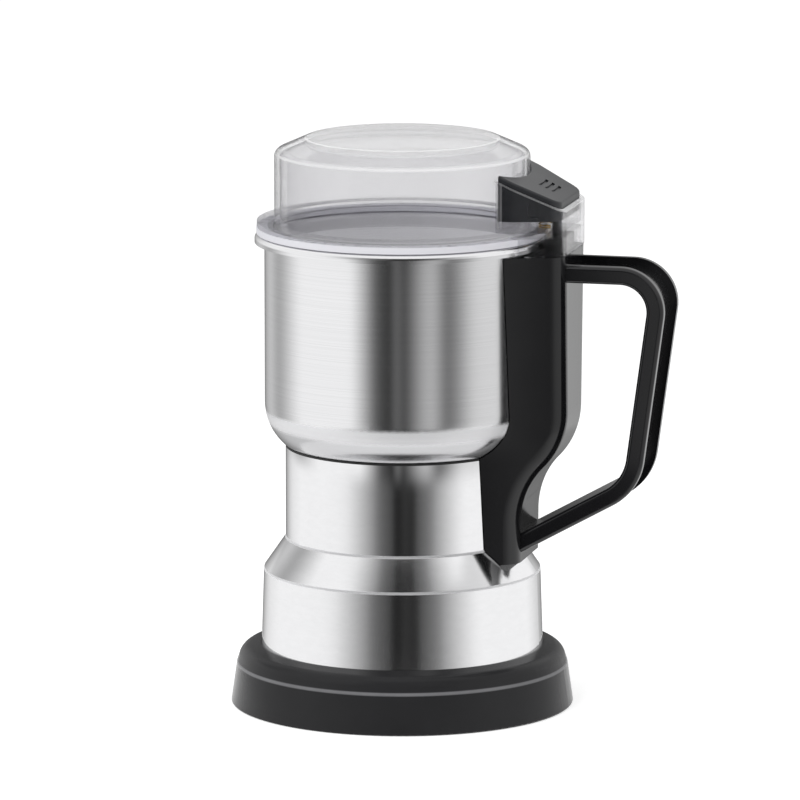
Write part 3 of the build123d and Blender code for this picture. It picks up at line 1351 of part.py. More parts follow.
def brush_springs():
    """Springs behind the brushes."""
    near, far, end = brush_reach()
    mean_r = BRUSH_WIDE / 2 - SPRING_WIRE
    spring = coil_spring("brush_springs", mean_r, SPRING_WIRE, BRUSH_SPRING_LENGTH, BRUSH_SPRING_PITCH)
    return round_about(along_y(spring, 0, far, Z_BRUSH), 2)


def motor_shaft():
    """Shaft from the fan up through both bearings and the bowl to the blade nut."""
    return upright(SHAFT_R, Z_FAN - SHAFT_STUB, Z_BLADE_NUT + BLADE_NUT_HEIGHT / 2)


def rotor_core():
    """Slotted rotor stack on the shaft."""
    core = ring(ROTOR_R, SHAFT_R + SHAFT_PLAY, Z_STATOR, Z_STATOR_TOP)
    half = SLOT_WIDE / 2
    slot_z = (Z_STATOR - OVERRUN, Z_STATOR_TOP + OVERRUN)
    slot = bar((ROTOR_R - SLOT_DEEP, ROTOR_R + OVERRUN), (-half, half), slot_z)
    for piece in round_about(slot, SLOT_COUNT):
        core -= piece
    return core


def rotor_windings():
    """Copper end windings above and below the rotor stack."""
    inner = SHAFT_R + SHAFT_PLAY
    rounding = WINDING_HEIGHT / 2
    up = [(inner, 0), (WINDING_R, 0), (WINDING_R, WINDING_HEIGHT, rounding), (inner, WINDING_HEIGHT, rounding)]
    dome = turned(up)
    return [Pos(0, 0, Z_STATOR_TOP) * dome, Pos(0, 0, Z_STATOR) * Rot(2 * QUARTER_TURN, 0, 0) * dome]


def commutator():
    """Copper commutator with cut segments."""
    drum = ring(COMMUTATOR_R, SHAFT_R + SHAFT_PLAY, Z_COMMUTATOR, Z_COMMUTATOR + COMMUTATOR_HEIGHT)
    half = SEGMENT_CUT / 2
    depth = COMMUTATOR_R - SEGMENT_CUT * 2
    span_z = (Z_COMMUTATOR - OVERRUN, Z_COMMUTATOR + COMMUTATOR_HEIGHT + OVERRUN)
    for piece in round_about(bar((depth, COMMUTATOR_R + OVERRUN), (-half, half), span_z), SEGMENT_COUNT):
        drum -= piece
    return drum


def cooling_fan():
    """Fan under the lower bracket: disc, hub and vanes."""
    bore = SHAFT_R + SHAFT_PLAY
    fan = ring(FAN_R, bore, Z_FAN_TOP - FAN_DISC, Z_FAN_TOP) + ring(FAN_HUB_R, bore, Z_FAN, Z_FAN_TOP)
    half = FAN_DISC / 2
    vane = bar((FAN_HUB_R - FAN_DISC, FAN_R - FAN_DISC), (-half, half), (Z_FAN, Z_FAN_TOP - FAN_DISC / 2))
    for piece in round_about(vane, FAN_VANES):
        fan += piece
    return fan


# Blades


def blade(reach, angle, low):
    """Two-armed blade with sharpened tips that turn up by an angle."""
    half = BLADE_WIDE / 2
    straight = reach - BLADE_TIP
    flat = bar((-straight, straight), (-half, half), (0, BLADE_WALL))
    wedge = [(-half, 0), (half, 0), (half, BLADE_WALL)]
    profile = Rot(0, 0, QUARTER_TURN) * outline_face(wedge + [(0, BLADE_WALL)])
    tip = extrude(Pos(-BLADE_WALL, 0, 0) * profile, amount=BLADE_TIP + BLADE_WALL, dir=(1, 0, 0))
    arm = Pos(straight, 0, 0) * Rot(0, -angle, 0) * tip
    shape = flat
    for piece in round_about(arm, 2):
        shape += piece
    shape &= bar((-reach, reach), (-half, half), (0, reach))
    return Pos(0, 0, low) * (shape - upright(SHAFT_R + SHAFT_PLAY, -OVERRUN, BLADE_WALL + OVERRUN))


def blade_collar():
    """Collar on the shaft that lifts the blades off the hub."""
    return ring(BLADE_COLLAR_R, SHAFT_R + SHAFT_PLAY, Z_BLADE_COLLAR, Z_BLADE)


def lower_blade():
    """Longer blade."""
    return blade(LOWER_BLADE_R, LOWER_TIP_ANGLE, Z_BLADE)


def upper_blade():
    """Shorter blade, set across the lower one."""
    return Rot(0, 0, QUARTER_TURN) * blade(UPPER_BLADE_R, UPPER_TIP_ANGLE, Z_BLADE + BLADE_WALL)


def blade_nut():
    """Domed nut that clamps the blades."""
    body = extrude(Pos(0, 0, Z_BLADE_NUT) * RegularPolygon(BLADE_NUT_R, HEX_SIDES), amount=BLADE_NUT_HEIGHT)
    body &= turned([
        (0, Z_BLADE_NUT),
        (BLADE_NUT_R, Z_BLADE_NUT),
        (BLADE_NUT_R, Z_BLADE_NUT + BLADE_NUT_HEIGHT, BLADE_NUT_R),
        (0, Z_BLADE_NUT + BLADE_NUT_HEIGHT),
    ])
    return body - upright(SHAFT_R + SHAFT_PLAY, 0, Z_BLADE_NUT + BLADE_NUT_HEIGHT / 2 + SEAT_GAP)


PIECES = [
    base_skirt, bottom_cover, rubber_feet, cover_screws, cord_gland,
    motor_shell, bowl_seat_ring, bowl, bowl_screws,
    lid_shell, lid_seal, button, plunger, button_springs,
    handle_front, handle_rear, cover_plate, handle_screws, foot_screw, foot_nut, column_studs, stud_nuts,
    push_rod, push_rod_spring, microswitch, switch_lever, switch_terminals, switch_leads, lead_grommets,
    lower_bracket, upper_bracket, lower_bearing, upper_bearing, shaft_seal, damper_washers, frame_screws,
    stator_core, field_coils, motor_bolts, motor_spacers, brush_holders, carbon_brushes, brush_springs,
    motor_shaft, rotor_core, rotor_windings, commutator, cooling_fan,
    blade_collar, lower_blade, upper_blade, blade_nut,
]


def solids_of(shape):
    """All solids of a piece, or of a list of like pieces."""
    parts = shape if isinstance(shape, list) else [shape]
    return [solid for part in parts for solid in part.solids()]


COLUMN_BODY = column_body()
os.makedirs("parts", exist_ok=True)
for make in PIECES:
    solids = solids_of(make())
    export_step(solids[0] if len(solids) == 1 else Compound(solids), f"parts/{make.__name__}.step")
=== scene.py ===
"""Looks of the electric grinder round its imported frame: finishes, wound springs, studio and camera."""
import logging
import math
from abc import ABC, abstractmethod
from dataclasses import dataclass
from enum import Enum
from typing import Any, ClassVar, Dict, List, Optional, Sequence, Tuple, Union

import bpy
from mathutils import Matrix, Vector


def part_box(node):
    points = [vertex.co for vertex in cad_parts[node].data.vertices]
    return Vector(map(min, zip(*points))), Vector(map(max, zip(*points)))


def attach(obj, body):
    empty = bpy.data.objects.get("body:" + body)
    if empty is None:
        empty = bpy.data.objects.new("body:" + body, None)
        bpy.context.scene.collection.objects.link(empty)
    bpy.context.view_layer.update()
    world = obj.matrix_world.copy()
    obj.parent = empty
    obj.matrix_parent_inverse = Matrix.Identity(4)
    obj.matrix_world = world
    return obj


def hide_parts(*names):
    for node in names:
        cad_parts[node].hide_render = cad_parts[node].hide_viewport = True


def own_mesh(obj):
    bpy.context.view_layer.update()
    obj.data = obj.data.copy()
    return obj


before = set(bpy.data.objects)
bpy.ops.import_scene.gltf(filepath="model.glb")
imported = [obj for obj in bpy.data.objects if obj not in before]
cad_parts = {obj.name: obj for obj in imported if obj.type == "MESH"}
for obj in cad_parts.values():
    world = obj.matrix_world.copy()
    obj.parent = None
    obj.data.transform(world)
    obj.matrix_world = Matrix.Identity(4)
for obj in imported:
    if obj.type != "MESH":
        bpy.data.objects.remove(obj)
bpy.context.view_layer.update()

LOG = logging.getLogger("grinder")
MM = 0.001
SOFT_DETAIL = 2.0  # octaves of a soft noise
LINE_CORE = 0.35  # share of a level line at full strength: painted highlight on the base ridge, satin roughness on the shell creases
SMOOTH_ANGLE = math.radians(60)
Colour = Tuple[float, float, float]
Triple = Tuple[float, float, float]


# Shader maths


def even(value: float) -> Triple:
    """The same value along each axis."""
    return (value, value, value)


class Wire:
    """One output socket that takes part in Python arithmetic."""

    def __init__(self, graph: "Graph", socket: bpy.types.NodeSocket) -> None:
        """Keep the socket and the graph that it belongs to.

        Args:
            graph: the graph that new nodes go into.
            socket: the output socket.
        """
        self.graph = graph
        self.socket = socket

    def math(self, operation: str, *operands: "Term") -> "Wire":
        """Add a Math node that starts from this wire.

        Args:
            operation: the Math node's operation.
            operands: the wires or numbers that follow this one.

        Returns:
            The node's result.
        """
        terms = dict(enumerate((self, *operands)))
        return self.graph.node("ShaderNodeMath", {"operation": operation}, terms)

    def before(self, operation: str, first: "Term") -> "Wire":
        """Add a Math node that has this wire as its second operand.

        Args:
            operation: the Math node's operation.
            first: the wire or number that comes first.

        Returns:
            The node's result.
        """
        return self.graph.node("ShaderNodeMath", {"operation": operation}, {0: first, 1: self})

    def other(self, name: str) -> "Wire":
        """Another output of the same node."""
        return Wire(self.graph, self.socket.node.outputs[name])

    def __add__(self, term: "Term") -> "Wire":
        """Sum."""
        return self.math("ADD", term)

    def __radd__(self, term: "Term") -> "Wire":
        """Sum, from the right."""
        return self.before("ADD", term)

    def __sub__(self, term: "Term") -> "Wire":
        """Difference."""
        return self.math("SUBTRACT", term)

    def __rsub__(self, term: "Term") -> "Wire":
        """Difference, from the right."""
        return self.before("SUBTRACT", term)

    def __mul__(self, term: "Term") -> "Wire":
        """Product."""
        return self.math("MULTIPLY", term)

    def __rmul__(self, term: "Term") -> "Wire":
        """Product, from the right."""
        return self.before("MULTIPLY", term)

    def __truediv__(self, term: "Term") -> "Wire":
        """Quotient."""
        return self.math("DIVIDE", term)

    def __rtruediv__(self, term: "Term") -> "Wire":
        """Quotient, from the right."""
        return self.before("DIVIDE", term)

    def most(self, term: "Term") -> "Wire":
        """The larger of two values."""
        return self.math("MAXIMUM", term)

    def repeat(self, span: float) -> "Wire":
        """Rise from 0 to 1 and fall back again over each span.

        Args:
            span: length of one repeat.

        Returns:
            A share that is 0 where two spans meet.
        """
        return (self / span).math("PINGPONG", 0.5) * 2.0

    def ramp_up(self, low: float, high: float) -> "Wire":
        """Rise smoothly from 0 at low to 1 at high.

        Args:
            low: the value that gives 0.
            high: the value that gives 1.

        Returns:
            A share from 0 to 1.
        """
        values = {"Value": self, "From Min": low, "From Max": high}
        return self.graph.node("ShaderNodeMapRange", {"interpolation_type": "SMOOTHSTEP"}, values)


Term = Union[Wire, int, float]


class Graph:
    """One node tree, emptied and filled by code."""

    def __init__(self, tree: bpy.types.NodeTree) -> None:
        """Empty the tree and keep it.

        Args:
            tree: the node tree to fill.
        """
        tree.nodes.clear()
        self.tree = tree

    def node(self, kind: str, settings: Optional[Dict[str, Any]] = None,
             sockets: Optional[Dict[Any, Any]] = None, out: Union[int, str] = 0) -> Optional[Wire]:
        """Add a node.

        Args:
            kind: the node's type.
            settings: its properties, or a ramp's stops, which are set first.
            sockets: values or wires for its inputs, by name or place.
            out: the output that is wanted.

        Returns:
            The wanted output, or None where the node has none.
        """
        made = self.tree.nodes.new(kind)
        for key, value in (settings or {}).items():
            if key == "stops":
                self.set_stops(made.color_ramp, value)
            elif key == "blend":
                made.color_ramp.interpolation = value
            else:
                setattr(made, key, value)
        for key, value in (sockets or {}).items():
            if isinstance(value, Wire):
                self.tree.links.new(value.socket, made.inputs[key])
            else:
                made.inputs[key].default_value = value
        return Wire(self, made.outputs[out]) if made.outputs else None

    @staticmethod
    def set_stops(ramp: bpy.types.ColorRamp, stops: Sequence[Tuple[float, float]]) -> None:
        """Give a ramp its grey stops.

        Args:
            ramp: the ramp to fill.
            stops: place and level of each stop, in order.
        """
        while len(ramp.elements) < len(stops):
            ramp.elements.new(1.0)
        for element, (place, level) in zip(ramp.elements, stops):
            element.position = place
            element.color = (level, level, level, 1.0)

    def place(self, scale: Triple = (1.0, 1.0, 1.0)) -> Wire:
        """Object coordinates in metres, stretched by a scale.

        Args:
            scale: pattern repeats per metre along each axis.

        Returns:
            The scaled coordinates.
        """
        spot = self.node("ShaderNodeTexCoord", out="Object")
        return self.node("ShaderNodeMapping", {}, {"Vector": spot, "Scale": scale})

    def radius(self) -> Wire:
        """Distance from the motor's axis.

        Returns:
            The distance, in metres.
        """
        parts = self.node("ShaderNodeSeparateXYZ", {}, {0: self.place()})
        return (parts * parts + parts.other("Y") * parts.other("Y")).math("SQRT")

    def height(self) -> Wire:
        """Height above the floor, in metres."""
        return self.node("ShaderNodeSeparateXYZ", {}, {0: self.place()}, out=2)

    def sheen_and_satin_line(self, height: float, half: float) -> Wire:
        """Thin level line round the object: a highlight painted along the base's ridge, and a satin line of
        roughness on the shell's creases.

        Args:
            height: height of the edge, in metres.
            half: half the line's breadth, in metres.

        Returns:
            A share that is 1 on the edge and 0 away from it.
        """
        return 1.0 - (self.height() - height).math("ABSOLUTE").ramp_up(half * LINE_CORE, half)

    def noise(self, scale: Triple, detail: float = 3.0, roughness: float = 0.55) -> Wire:
        """Noise from 0 to 1 over the object.

        Args:
            scale: noise cells per metre along each axis.
            detail: octaves of finer noise.
            roughness: weight of the finer octaves.

        Returns:
            The noise value.
        """
        values = {"Vector": self.place(scale), "Scale": 1.0, "Detail": detail, "Roughness": roughness}
        return self.node("ShaderNodeTexNoise", {}, values)

    def shade(self, share: Wire, dark: Union[Wire, Colour], light: Colour) -> Wire:
        """Mix two colours by a share.

        Args:
            share: 0 for the first colour, 1 for the second.
            dark: the first colour, or a wire that carries it.
            light: the second colour.

        Returns:
            The mixed colour.
        """
        first = dark if isinstance(dark, Wire) else (*dark, 1.0)
        values = {0: share, 6: first, 7: (*light, 1.0)}
        return self.node("ShaderNodeMix", {"data_type": "RGBA"}, values, out=2)

    def bump(self, height: Wire, depth: float, strength: float = 1.0) -> Wire:
        """Normal that is tilted by a height.

        Args:
            height: relief from 0 to 1.
            depth: its depth in metres.
            strength: share of the relief that shows.

        Returns:
            The bumped normal.
        """
        return self.node("ShaderNodeBump", {}, {"Strength": strength, "Distance": depth, "Height": height})


# Finishes


@dataclass(frozen=True)
class Finish(ABC):
    """A surface finish that makes its own material once."""

    name: str
    made: ClassVar[Dict[str, bpy.types.Material]] = {}

    @abstractmethod
    def sockets(self, graph: Graph) -> Dict[str, Any]:
        """Values and wires for the shader's sockets.

        Args:
            graph: the material's graph.

        Returns:
            Values and wires by socket name.
        """

    def material(self) -> bpy.types.Material:
        """Make the material, or give the one that was made before.

        Returns:
            The finished material.
        """
        if self.name not in Finish.made:
            material = bpy.data.materials.new(self.name)
            material.use_nodes = True
            graph = Graph(material.node_tree)
            surface = graph.node("ShaderNodeBsdfPrincipled", {}, self.sockets(graph))
            graph.node("ShaderNodeOutputMaterial", {}, {"Surface": surface})
            Finish.made[self.name] = material
        return Finish.made[self.name]


@dataclass(frozen=True)
class MouldedPlastic(Finish):
    """Moulded plastic with a fine spark-eroded grain and slightly uneven gloss."""

    dark: Colour = (0.010, 0.010, 0.011)
    light: Colour = (0.018, 0.018, 0.020)
    gloss: Tuple[float, float] = (0.22, 0.34)
    grain: float = 2600.0
    grain_depth: float = 0.000012
    patch: float = 45.0
    patch_share: float = 0.6
    ior: float = 1.5

    def sockets(self, graph: Graph) -> Dict[str, Any]:
        """Mottled colour, uneven gloss and moulded grain.

        Args:
            graph: the material's graph.

        Returns:
            Values and wires by socket name.
        """
        patches = graph.noise(even(self.patch), SOFT_DETAIL)
        grain = graph.noise(even(self.grain), SOFT_DETAIL)
        low, high = self.gloss
        unevenness = self.patch_share * patches + (1.0 - self.patch_share) * grain
        return {
            "Base Color": graph.shade(patches, self.dark, self.light),
            "Roughness": low + (high - low) * unevenness,
            "IOR": self.ior,
            "Normal": graph.bump(grain, self.grain_depth),
        }


@dataclass(frozen=True)
class RidgedPlastic(MouldedPlastic):
    """Moulded plastic with a highlight painted along one level ridge."""

    ridge: float = 0.0163
    half: float = 0.0009
    ridge_highlight: Colour = (0.24, 0.24, 0.25)
    highlight_cells: float = 90.0
    highlight_least: float = 0.7

    def sockets(self, graph: Graph) -> Dict[str, Any]:
        """Moulded grain, with a highlight painted along the ridge.

        Args:
            graph: the material's graph.

        Returns:
            Values and wires by socket name.
        """
        made = super().sockets(graph)
        # painted highlight: the ridge line is paler in colour, in patches
        highlight_patchiness = self.highlight_least + (1.0 - self.highlight_least) * graph.noise(even(self.highlight_cells))
        edge = graph.sheen_and_satin_line(self.ridge, self.half) * highlight_patchiness
        made["Base Color"] = graph.shade(edge, made["Base Color"], self.ridge_highlight)
        return made


class Lay(Enum):
    """Way that the fine lines of a worked metal run, as noise cells per metre along each axis."""

    ROUND_AXIS = (2.0, 2.0, 2600.0)
    ALONG_BLADE = (2200.0, 40.0, 2200.0)
    TURNED = (500.0, 500.0, 1800.0)
    POLISHED = (160.0, 160.0, 420.0)


@dataclass(frozen=True)
class WorkedMetal(Finish):
    """Bare metal with brushed, ground or polished lines."""

    dark: Colour = (0.70, 0.70, 0.71)
    light: Colour = (0.82, 0.82, 0.83)
    gloss: Tuple[float, float] = (0.14, 0.26)
    lay: Lay = Lay.ROUND_AXIS
    line_depth: float = 0.000004
    line_detail: float = 4.0
    line_roughness: float = 0.7
    line_share: float = 0.7
    contrast: float = 1.6
    cloud: float = 28.0

    def sockets(self, graph: Graph) -> Dict[str, Any]:
        """Streaked colour and gloss, with a relief of fine lines.

        Args:
            graph: the material's graph.

        Returns:
            Values and wires by socket name.
        """
        lines = graph.noise(self.lay.value, self.line_detail, self.line_roughness)
        clouds = graph.noise(even(self.cloud), SOFT_DETAIL)
        low, high = self.gloss
        unevenness = self.line_share * lines + (1.0 - self.line_share) * clouds
        return {
            "Base Color": graph.shade((lines - 0.5) * self.contrast + 0.5, self.dark, self.light),
            "Metallic": 1.0,
            "Roughness": low + (high - low) * unevenness,
            "Normal": graph.bump(lines, self.line_depth),
        }


@dataclass(frozen=True)
class CreasedSteel(WorkedMetal):
    """Polished shell whose two creases are rubbed to a fine satin line."""

    creases: Tuple[float, float] = (0.0546, 0.0675)
    half: float = 0.0007
    satin: float = 0.75

    def sockets(self, graph: Graph) -> Dict[str, Any]:
        """Polished sides with satin creases.

        Args:
            graph: the material's graph.

        Returns:
            Values and wires by socket name.
        """
        made = super().sockets(graph)
        lower, upper = (graph.sheen_and_satin_line(height, self.half) for height in self.creases)
        made["Roughness"] = made["Roughness"] + self.satin * lower.most(upper)
        return made


@dataclass(frozen=True)
class BowlSteel(WorkedMetal):
    """Brushed bowl with a pale satin inside and shade painted round the corner at its foot."""

    inside_r: float = 0.0546
    inside_blend: float = 0.0003
    inside: Colour = (0.94, 0.94, 0.96)
    inside_share: float = 0.5
    satin: float = 0.40
    dulled: float = 0.76
    corner: Tuple[float, float] = (0.1125, 0.1155)
    painted_foot_shade: Colour = (0.50, 0.50, 0.51)

    def sockets(self, graph: Graph) -> Dict[str, Any]:
        """Brushed outside, with shade painted round its foot, and pale within the inside radius.

        Args:
            graph: the material's graph.

        Returns:
            Values and wires by socket name.
        """
        made = super().sockets(graph)
        above = graph.height().ramp_up(*self.corner)
        within = 1.0 - graph.radius().ramp_up(self.inside_r, self.inside_r + self.inside_blend)
        inside = within * above
        # painted shade: the brushed colour darkens round the bowl's foot
        foot = 1.0 - above
        outside = graph.shade(foot, made["Base Color"], self.painted_foot_shade)
        made["Base Color"] = graph.shade(self.inside_share * inside, outside, self.inside)
        made["Roughness"] = made["Roughness"] + (self.satin - made["Roughness"]) * inside
        made["Metallic"] = 1.0 - self.dulled * inside
        return made


@dataclass(frozen=True)
class ClearPlastic(Finish):
    """Clear moulding, faintly grey, with slight flow marks and highlights painted along its edges."""

    tint: Colour = (0.24, 0.235, 0.26)
    haze: float = 0.03
    ior: float = 1.06
    skin_ior: float = 1.5
    body: Tuple[float, float] = (0.24, 0.50)
    facing_blend: float = 0.4
    flow_cells: Triple = (70.0, 70.0, 24.0)
    flow_tint: float = 0.12
    flow_depth: float = 0.00001
    shoulder: float = 0.2226
    top_r: float = 0.0386
    wall_r: float = 0.0510
    wall_clear: Tuple[float, float] = (0.0003, 0.0006)
    seam_r: float = 0.0528
    flange: float = 0.1970
    flange_blend: float = 0.001
    housing_top: float = 0.21321
    housing_slant: float = 25.0
    edge_half: float = 0.0008
    edge_core: float = 0.3
    highlight_colour: Colour = (0.96, 0.96, 0.97)
    edge_metal: float = 0.7
    edge_haze: float = 0.35
    edge_body: float = 0.2

    def edge_highlights(self, graph: Graph) -> Wire:
        """Share of painted highlight, 1 along the lid's shoulder and top edge and the housing's rim and seam.

        Args:
            graph: the graph that the share is added to.

        Returns:
            The share, 0 away from the edges.
        """
        def line(distance: Wire) -> Wire:
            """Thin line where a distance is near nothing."""
            return 1.0 - distance.math("ABSOLUTE").ramp_up(self.edge_half * self.edge_core, self.edge_half)

        slope = math.radians(self.housing_slant)
        parts = graph.node("ShaderNodeSeparateXYZ", {}, {0: graph.place()})
        rise = parts.other("Z")
        radius = graph.radius()
        slant = (parts - self.wall_r) * math.sin(slope) + (rise - self.housing_top) * math.cos(slope)
        near, far = self.wall_clear
        outside = radius.ramp_up(self.wall_r + near, self.wall_r + far)
        above = rise.ramp_up(self.flange, self.flange + self.flange_blend)
        housing = (line(slant) * outside).most(line(radius - self.seam_r) * above)
        return line(rise - self.shoulder).most(line(radius - self.top_r)).most(housing)

    def sockets(self, graph: Graph) -> Dict[str, Any]:
        """Tinted body that lets light straight through, thicker where it is seen edge on, with highlights
        painted along its edges.

        Args:
            graph: the material's graph.

        Returns:
            Values and wires by socket name.
        """
        flow = graph.noise(self.flow_cells, SOFT_DETAIL)
        edge_highlights = self.edge_highlights(graph)
        facing = graph.node("ShaderNodeLayerWeight", {}, {"Blend": self.facing_blend}, out="Facing")
        base, rise = self.body
        return {
            # painted highlight: the edge lines are pale, partly metallic, hazier and less clear
            "Base Color": graph.shade((self.flow_tint * flow).most(edge_highlights), self.tint, self.highlight_colour),
            "Metallic": self.edge_metal * edge_highlights,
            "Roughness": self.haze * (0.5 + flow) + self.edge_haze * edge_highlights,
            "IOR": self.ior,
            "Transmission Weight": 1.0,
            "Coat Weight": 1.0,
            "Coat IOR": self.skin_ior,
            "Alpha": base + rise * facing * facing + self.edge_body * edge_highlights,
            "Normal": graph.bump(flow, self.flow_depth),
        }


@dataclass(frozen=True)
class SoftMoulding(Finish):
    """Silicone or rubber with a dull, faintly powdery skin."""

    dark: Colour = (0.70, 0.70, 0.74)
    light: Colour = (0.80, 0.80, 0.84)
    gloss: Tuple[float, float] = (0.48, 0.62)
    powder: float = 1800.0
    powder_depth: float = 0.00001
    cloud: float = 60.0

    def sockets(self, graph: Graph) -> Dict[str, Any]:
        """Soft colour with a fine powdery relief.

        Args:
            graph: the material's graph.

        Returns:
            Values and wires by socket name.
        """
        powder = graph.noise(even(self.powder), SOFT_DETAIL)
        clouds = graph.noise(even(self.cloud), SOFT_DETAIL)
        low, high = self.gloss
        return {
            "Base Color": graph.shade(clouds, self.dark, self.light),
            "Roughness": low + (high - low) * powder,
            "Normal": graph.bump(powder, self.powder_depth),
        }


@dataclass(frozen=True)
class Stacked(Finish):
    """Iron sheets in a stack, with a fine line at each joint."""

    sheet: float = 0.0005
    joint_share: float = 0.35
    joint_depth: float = 0.00005
    dark: Colour = (0.05, 0.05, 0.05)
    light: Colour = (0.26, 0.26, 0.27)
    rust_cells: float = 220.0
    clean: float = 0.6
    metal: float = 0.85
    dull: float = 0.62
    polish: float = 0.2

    def sockets(self, graph: Graph) -> Dict[str, Any]:
        """Dull iron, darker and sunk at each sheet's edge.

        Args:
            graph: the material's graph.

        Returns:
            Values and wires by socket name.
        """
        edge = graph.height().repeat(self.sheet).ramp_up(0.0, self.joint_share)
        rust = graph.noise(even(self.rust_cells))
        tone = edge * (self.clean + (1.0 - self.clean) * rust)
        return {
            "Base Color": graph.shade(tone, self.dark, self.light),
            "Metallic": self.metal,
            "Roughness": self.dull - self.polish * edge,
            "Normal": graph.bump(edge, self.joint_depth),
        }


@dataclass(frozen=True)
class WoundCopper(Finish):
    """Enamelled copper wire, laid side by side."""

    wire: float = 0.0007
    strand_share: float = 0.9
    strand_depth: float = 0.0002
    dark: Colour = (0.16, 0.05, 0.02)
    light: Colour = (0.62, 0.28, 0.13)
    tone_cells: float = 160.0
    tone_least: float = 0.5
    metal: float = 0.9
    dull: float = 0.46
    polish: float = 0.16
    varnish: float = 0.4

    def sockets(self, graph: Graph) -> Dict[str, Any]:
        """Rounded strands with shade painted in the gaps between them, and a varnish coat.

        Args:
            graph: the material's graph.

        Returns:
            Values and wires by socket name.
        """
        parts = graph.node("ShaderNodeSeparateXYZ", {}, {0: graph.place()})
        across = parts.math("ABSOLUTE") + parts.other("Y").math("ABSOLUTE") + parts.other("Z")
        strand = across.repeat(self.wire).ramp_up(0.0, self.strand_share)
        tone = self.tone_least + (1.0 - self.tone_least) * graph.noise(even(self.tone_cells))
        return {
            # painted shade: the colour darkens in the gaps between strands
            "Base Color": graph.shade(strand * tone, self.dark, self.light),
            "Metallic": self.metal,
            "Roughness": self.dull - self.polish * strand,
            "Coat Weight": self.varnish,
            "Normal": graph.bump(strand, self.strand_depth),
        }


BASE_BLACK = RidgedPlastic("base_black", (0.024, 0.024, 0.025), (0.032, 0.032, 0.034), (0.16, 0.26), ior=1.22)
HANDLE_BLACK = MouldedPlastic("handle_black", (0.006, 0.006, 0.007), (0.011, 0.011, 0.012), (0.09, 0.17),
                              grain=900.0, grain_depth=0.000003)
INNER_BLACK = MouldedPlastic("inner_black", (0.018, 0.018, 0.020), (0.030, 0.030, 0.033), (0.42, 0.58))
BUTTON_GREY = MouldedPlastic("button_grey", (0.007, 0.008, 0.010), (0.012, 0.013, 0.016), (0.34, 0.46),
                             grain=3200.0, grain_depth=0.000022)
LEAD_RED = MouldedPlastic("lead_red", (0.30, 0.03, 0.025), (0.40, 0.05, 0.04), (0.35, 0.50))
CLEAR = ClearPlastic("clear")
SILICONE_WHITE = SoftMoulding("silicone_white", (0.84, 0.84, 0.90), (0.92, 0.92, 0.96))
RUBBER_BLACK = SoftMoulding("rubber_black", (0.014, 0.014, 0.014), (0.024, 0.024, 0.024), (0.58, 0.74))
CARBON = SoftMoulding("carbon", (0.020, 0.020, 0.020), (0.045, 0.045, 0.046), (0.40, 0.55))
POLISHED_STEEL = CreasedSteel("polished_steel", (0.84, 0.84, 0.85), (0.89, 0.89, 0.90), (0.07, 0.12),
                              Lay.POLISHED, line_depth=0.000001)
BRUSHED_STEEL = BowlSteel("brushed_steel", (0.74, 0.74, 0.75), (0.92, 0.92, 0.93), (0.12, 0.22))
BLADE_STEEL = WorkedMetal("blade_steel", (0.58, 0.58, 0.60), (0.72, 0.72, 0.74), (0.20, 0.34),
                          Lay.ALONG_BLADE)
SCREW_STEEL = WorkedMetal("screw_steel", (0.50, 0.50, 0.51), (0.66, 0.66, 0.67), (0.24, 0.38), Lay.TURNED)
SPRING_STEEL = WorkedMetal("spring_steel", (0.46, 0.46, 0.48), (0.62, 0.62, 0.64), (0.22, 0.34), Lay.TURNED)
SPRING_BRASS = WorkedMetal("spring_brass", (0.66, 0.46, 0.18), (0.86, 0.64, 0.30), (0.18, 0.30), Lay.TURNED)
BRACKET_ALLOY = WorkedMetal("bracket_alloy", (0.46, 0.47, 0.48), (0.62, 0.63, 0.64), (0.38, 0.55),
                            Lay.TURNED, line_depth=0.00003)
IRON = Stacked("iron")
COPPER = WoundCopper("copper")


def dress(finish: Finish, *nodes: str) -> None:
    """Give CAD nodes a finish.

    Args:
        finish: the finish that they get.
        nodes: names of the nodes.
    """
    for node in nodes:
        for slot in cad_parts[node].material_slots:
            slot.material = finish.material()
        LOG.info("%s dressed in %s", node, finish.name)


# Winding


@dataclass(frozen=True)
class Coil:
    """A compression spring with a closed turn at each end, wound upright from its foot."""

    mean_r: float
    wire: float
    length: float
    turns: int
    steps: int = 20
    sides: int = 10

    def wind(self, name: str) -> bpy.types.Object:
        """Draw the wire's round section out along the coil.

        Args:
            name: name of the new object.

        Returns:
            The coil, standing on the origin.
        """
        bpy.ops.object.select_all(action="DESELECT")
        start = (self.mean_r, 0.0, self.wire / 2)
        bpy.ops.mesh.primitive_circle_add(vertices=self.sides, radius=self.wire / 2, fill_type="NGON",
                                          location=start, rotation=(math.pi / 2, 0.0, 0.0))
        coil = bpy.context.object
        coil.name = name
        bpy.ops.object.transform_apply()
        bpy.ops.object.mode_set(mode="EDIT")
        bpy.ops.mesh.select_mode(type="FACE")
        bpy.ops.mesh.select_all(action="SELECT")
        closed = self.wire / self.steps
        ends = 3 * self.wire  # two closed turns and the thickness of the wire
        active = (self.length - ends) / (self.turns * self.steps)
        rises = [closed] * self.steps + [active] * (self.turns * self.steps) + [closed] * self.steps
        for rise in rises:
            bpy.ops.mesh.extrude_region_move(TRANSFORM_OT_translate={"value": (0.0, 0.0, rise)})
            bpy.ops.transform.rotate(value=math.tau / self.steps, orient_axis="Z",
                                     center_override=(0.0, 0.0, 0.0))
        bpy.ops.mesh.select_all(action="SELECT")
        bpy.ops.mesh.normals_make_consistent(inside=False)
        bpy.ops.object.mode_set(mode="OBJECT")
        bpy.ops.object.shade_smooth_by_angle(angle=SMOOTH_ANGLE)
        return coil


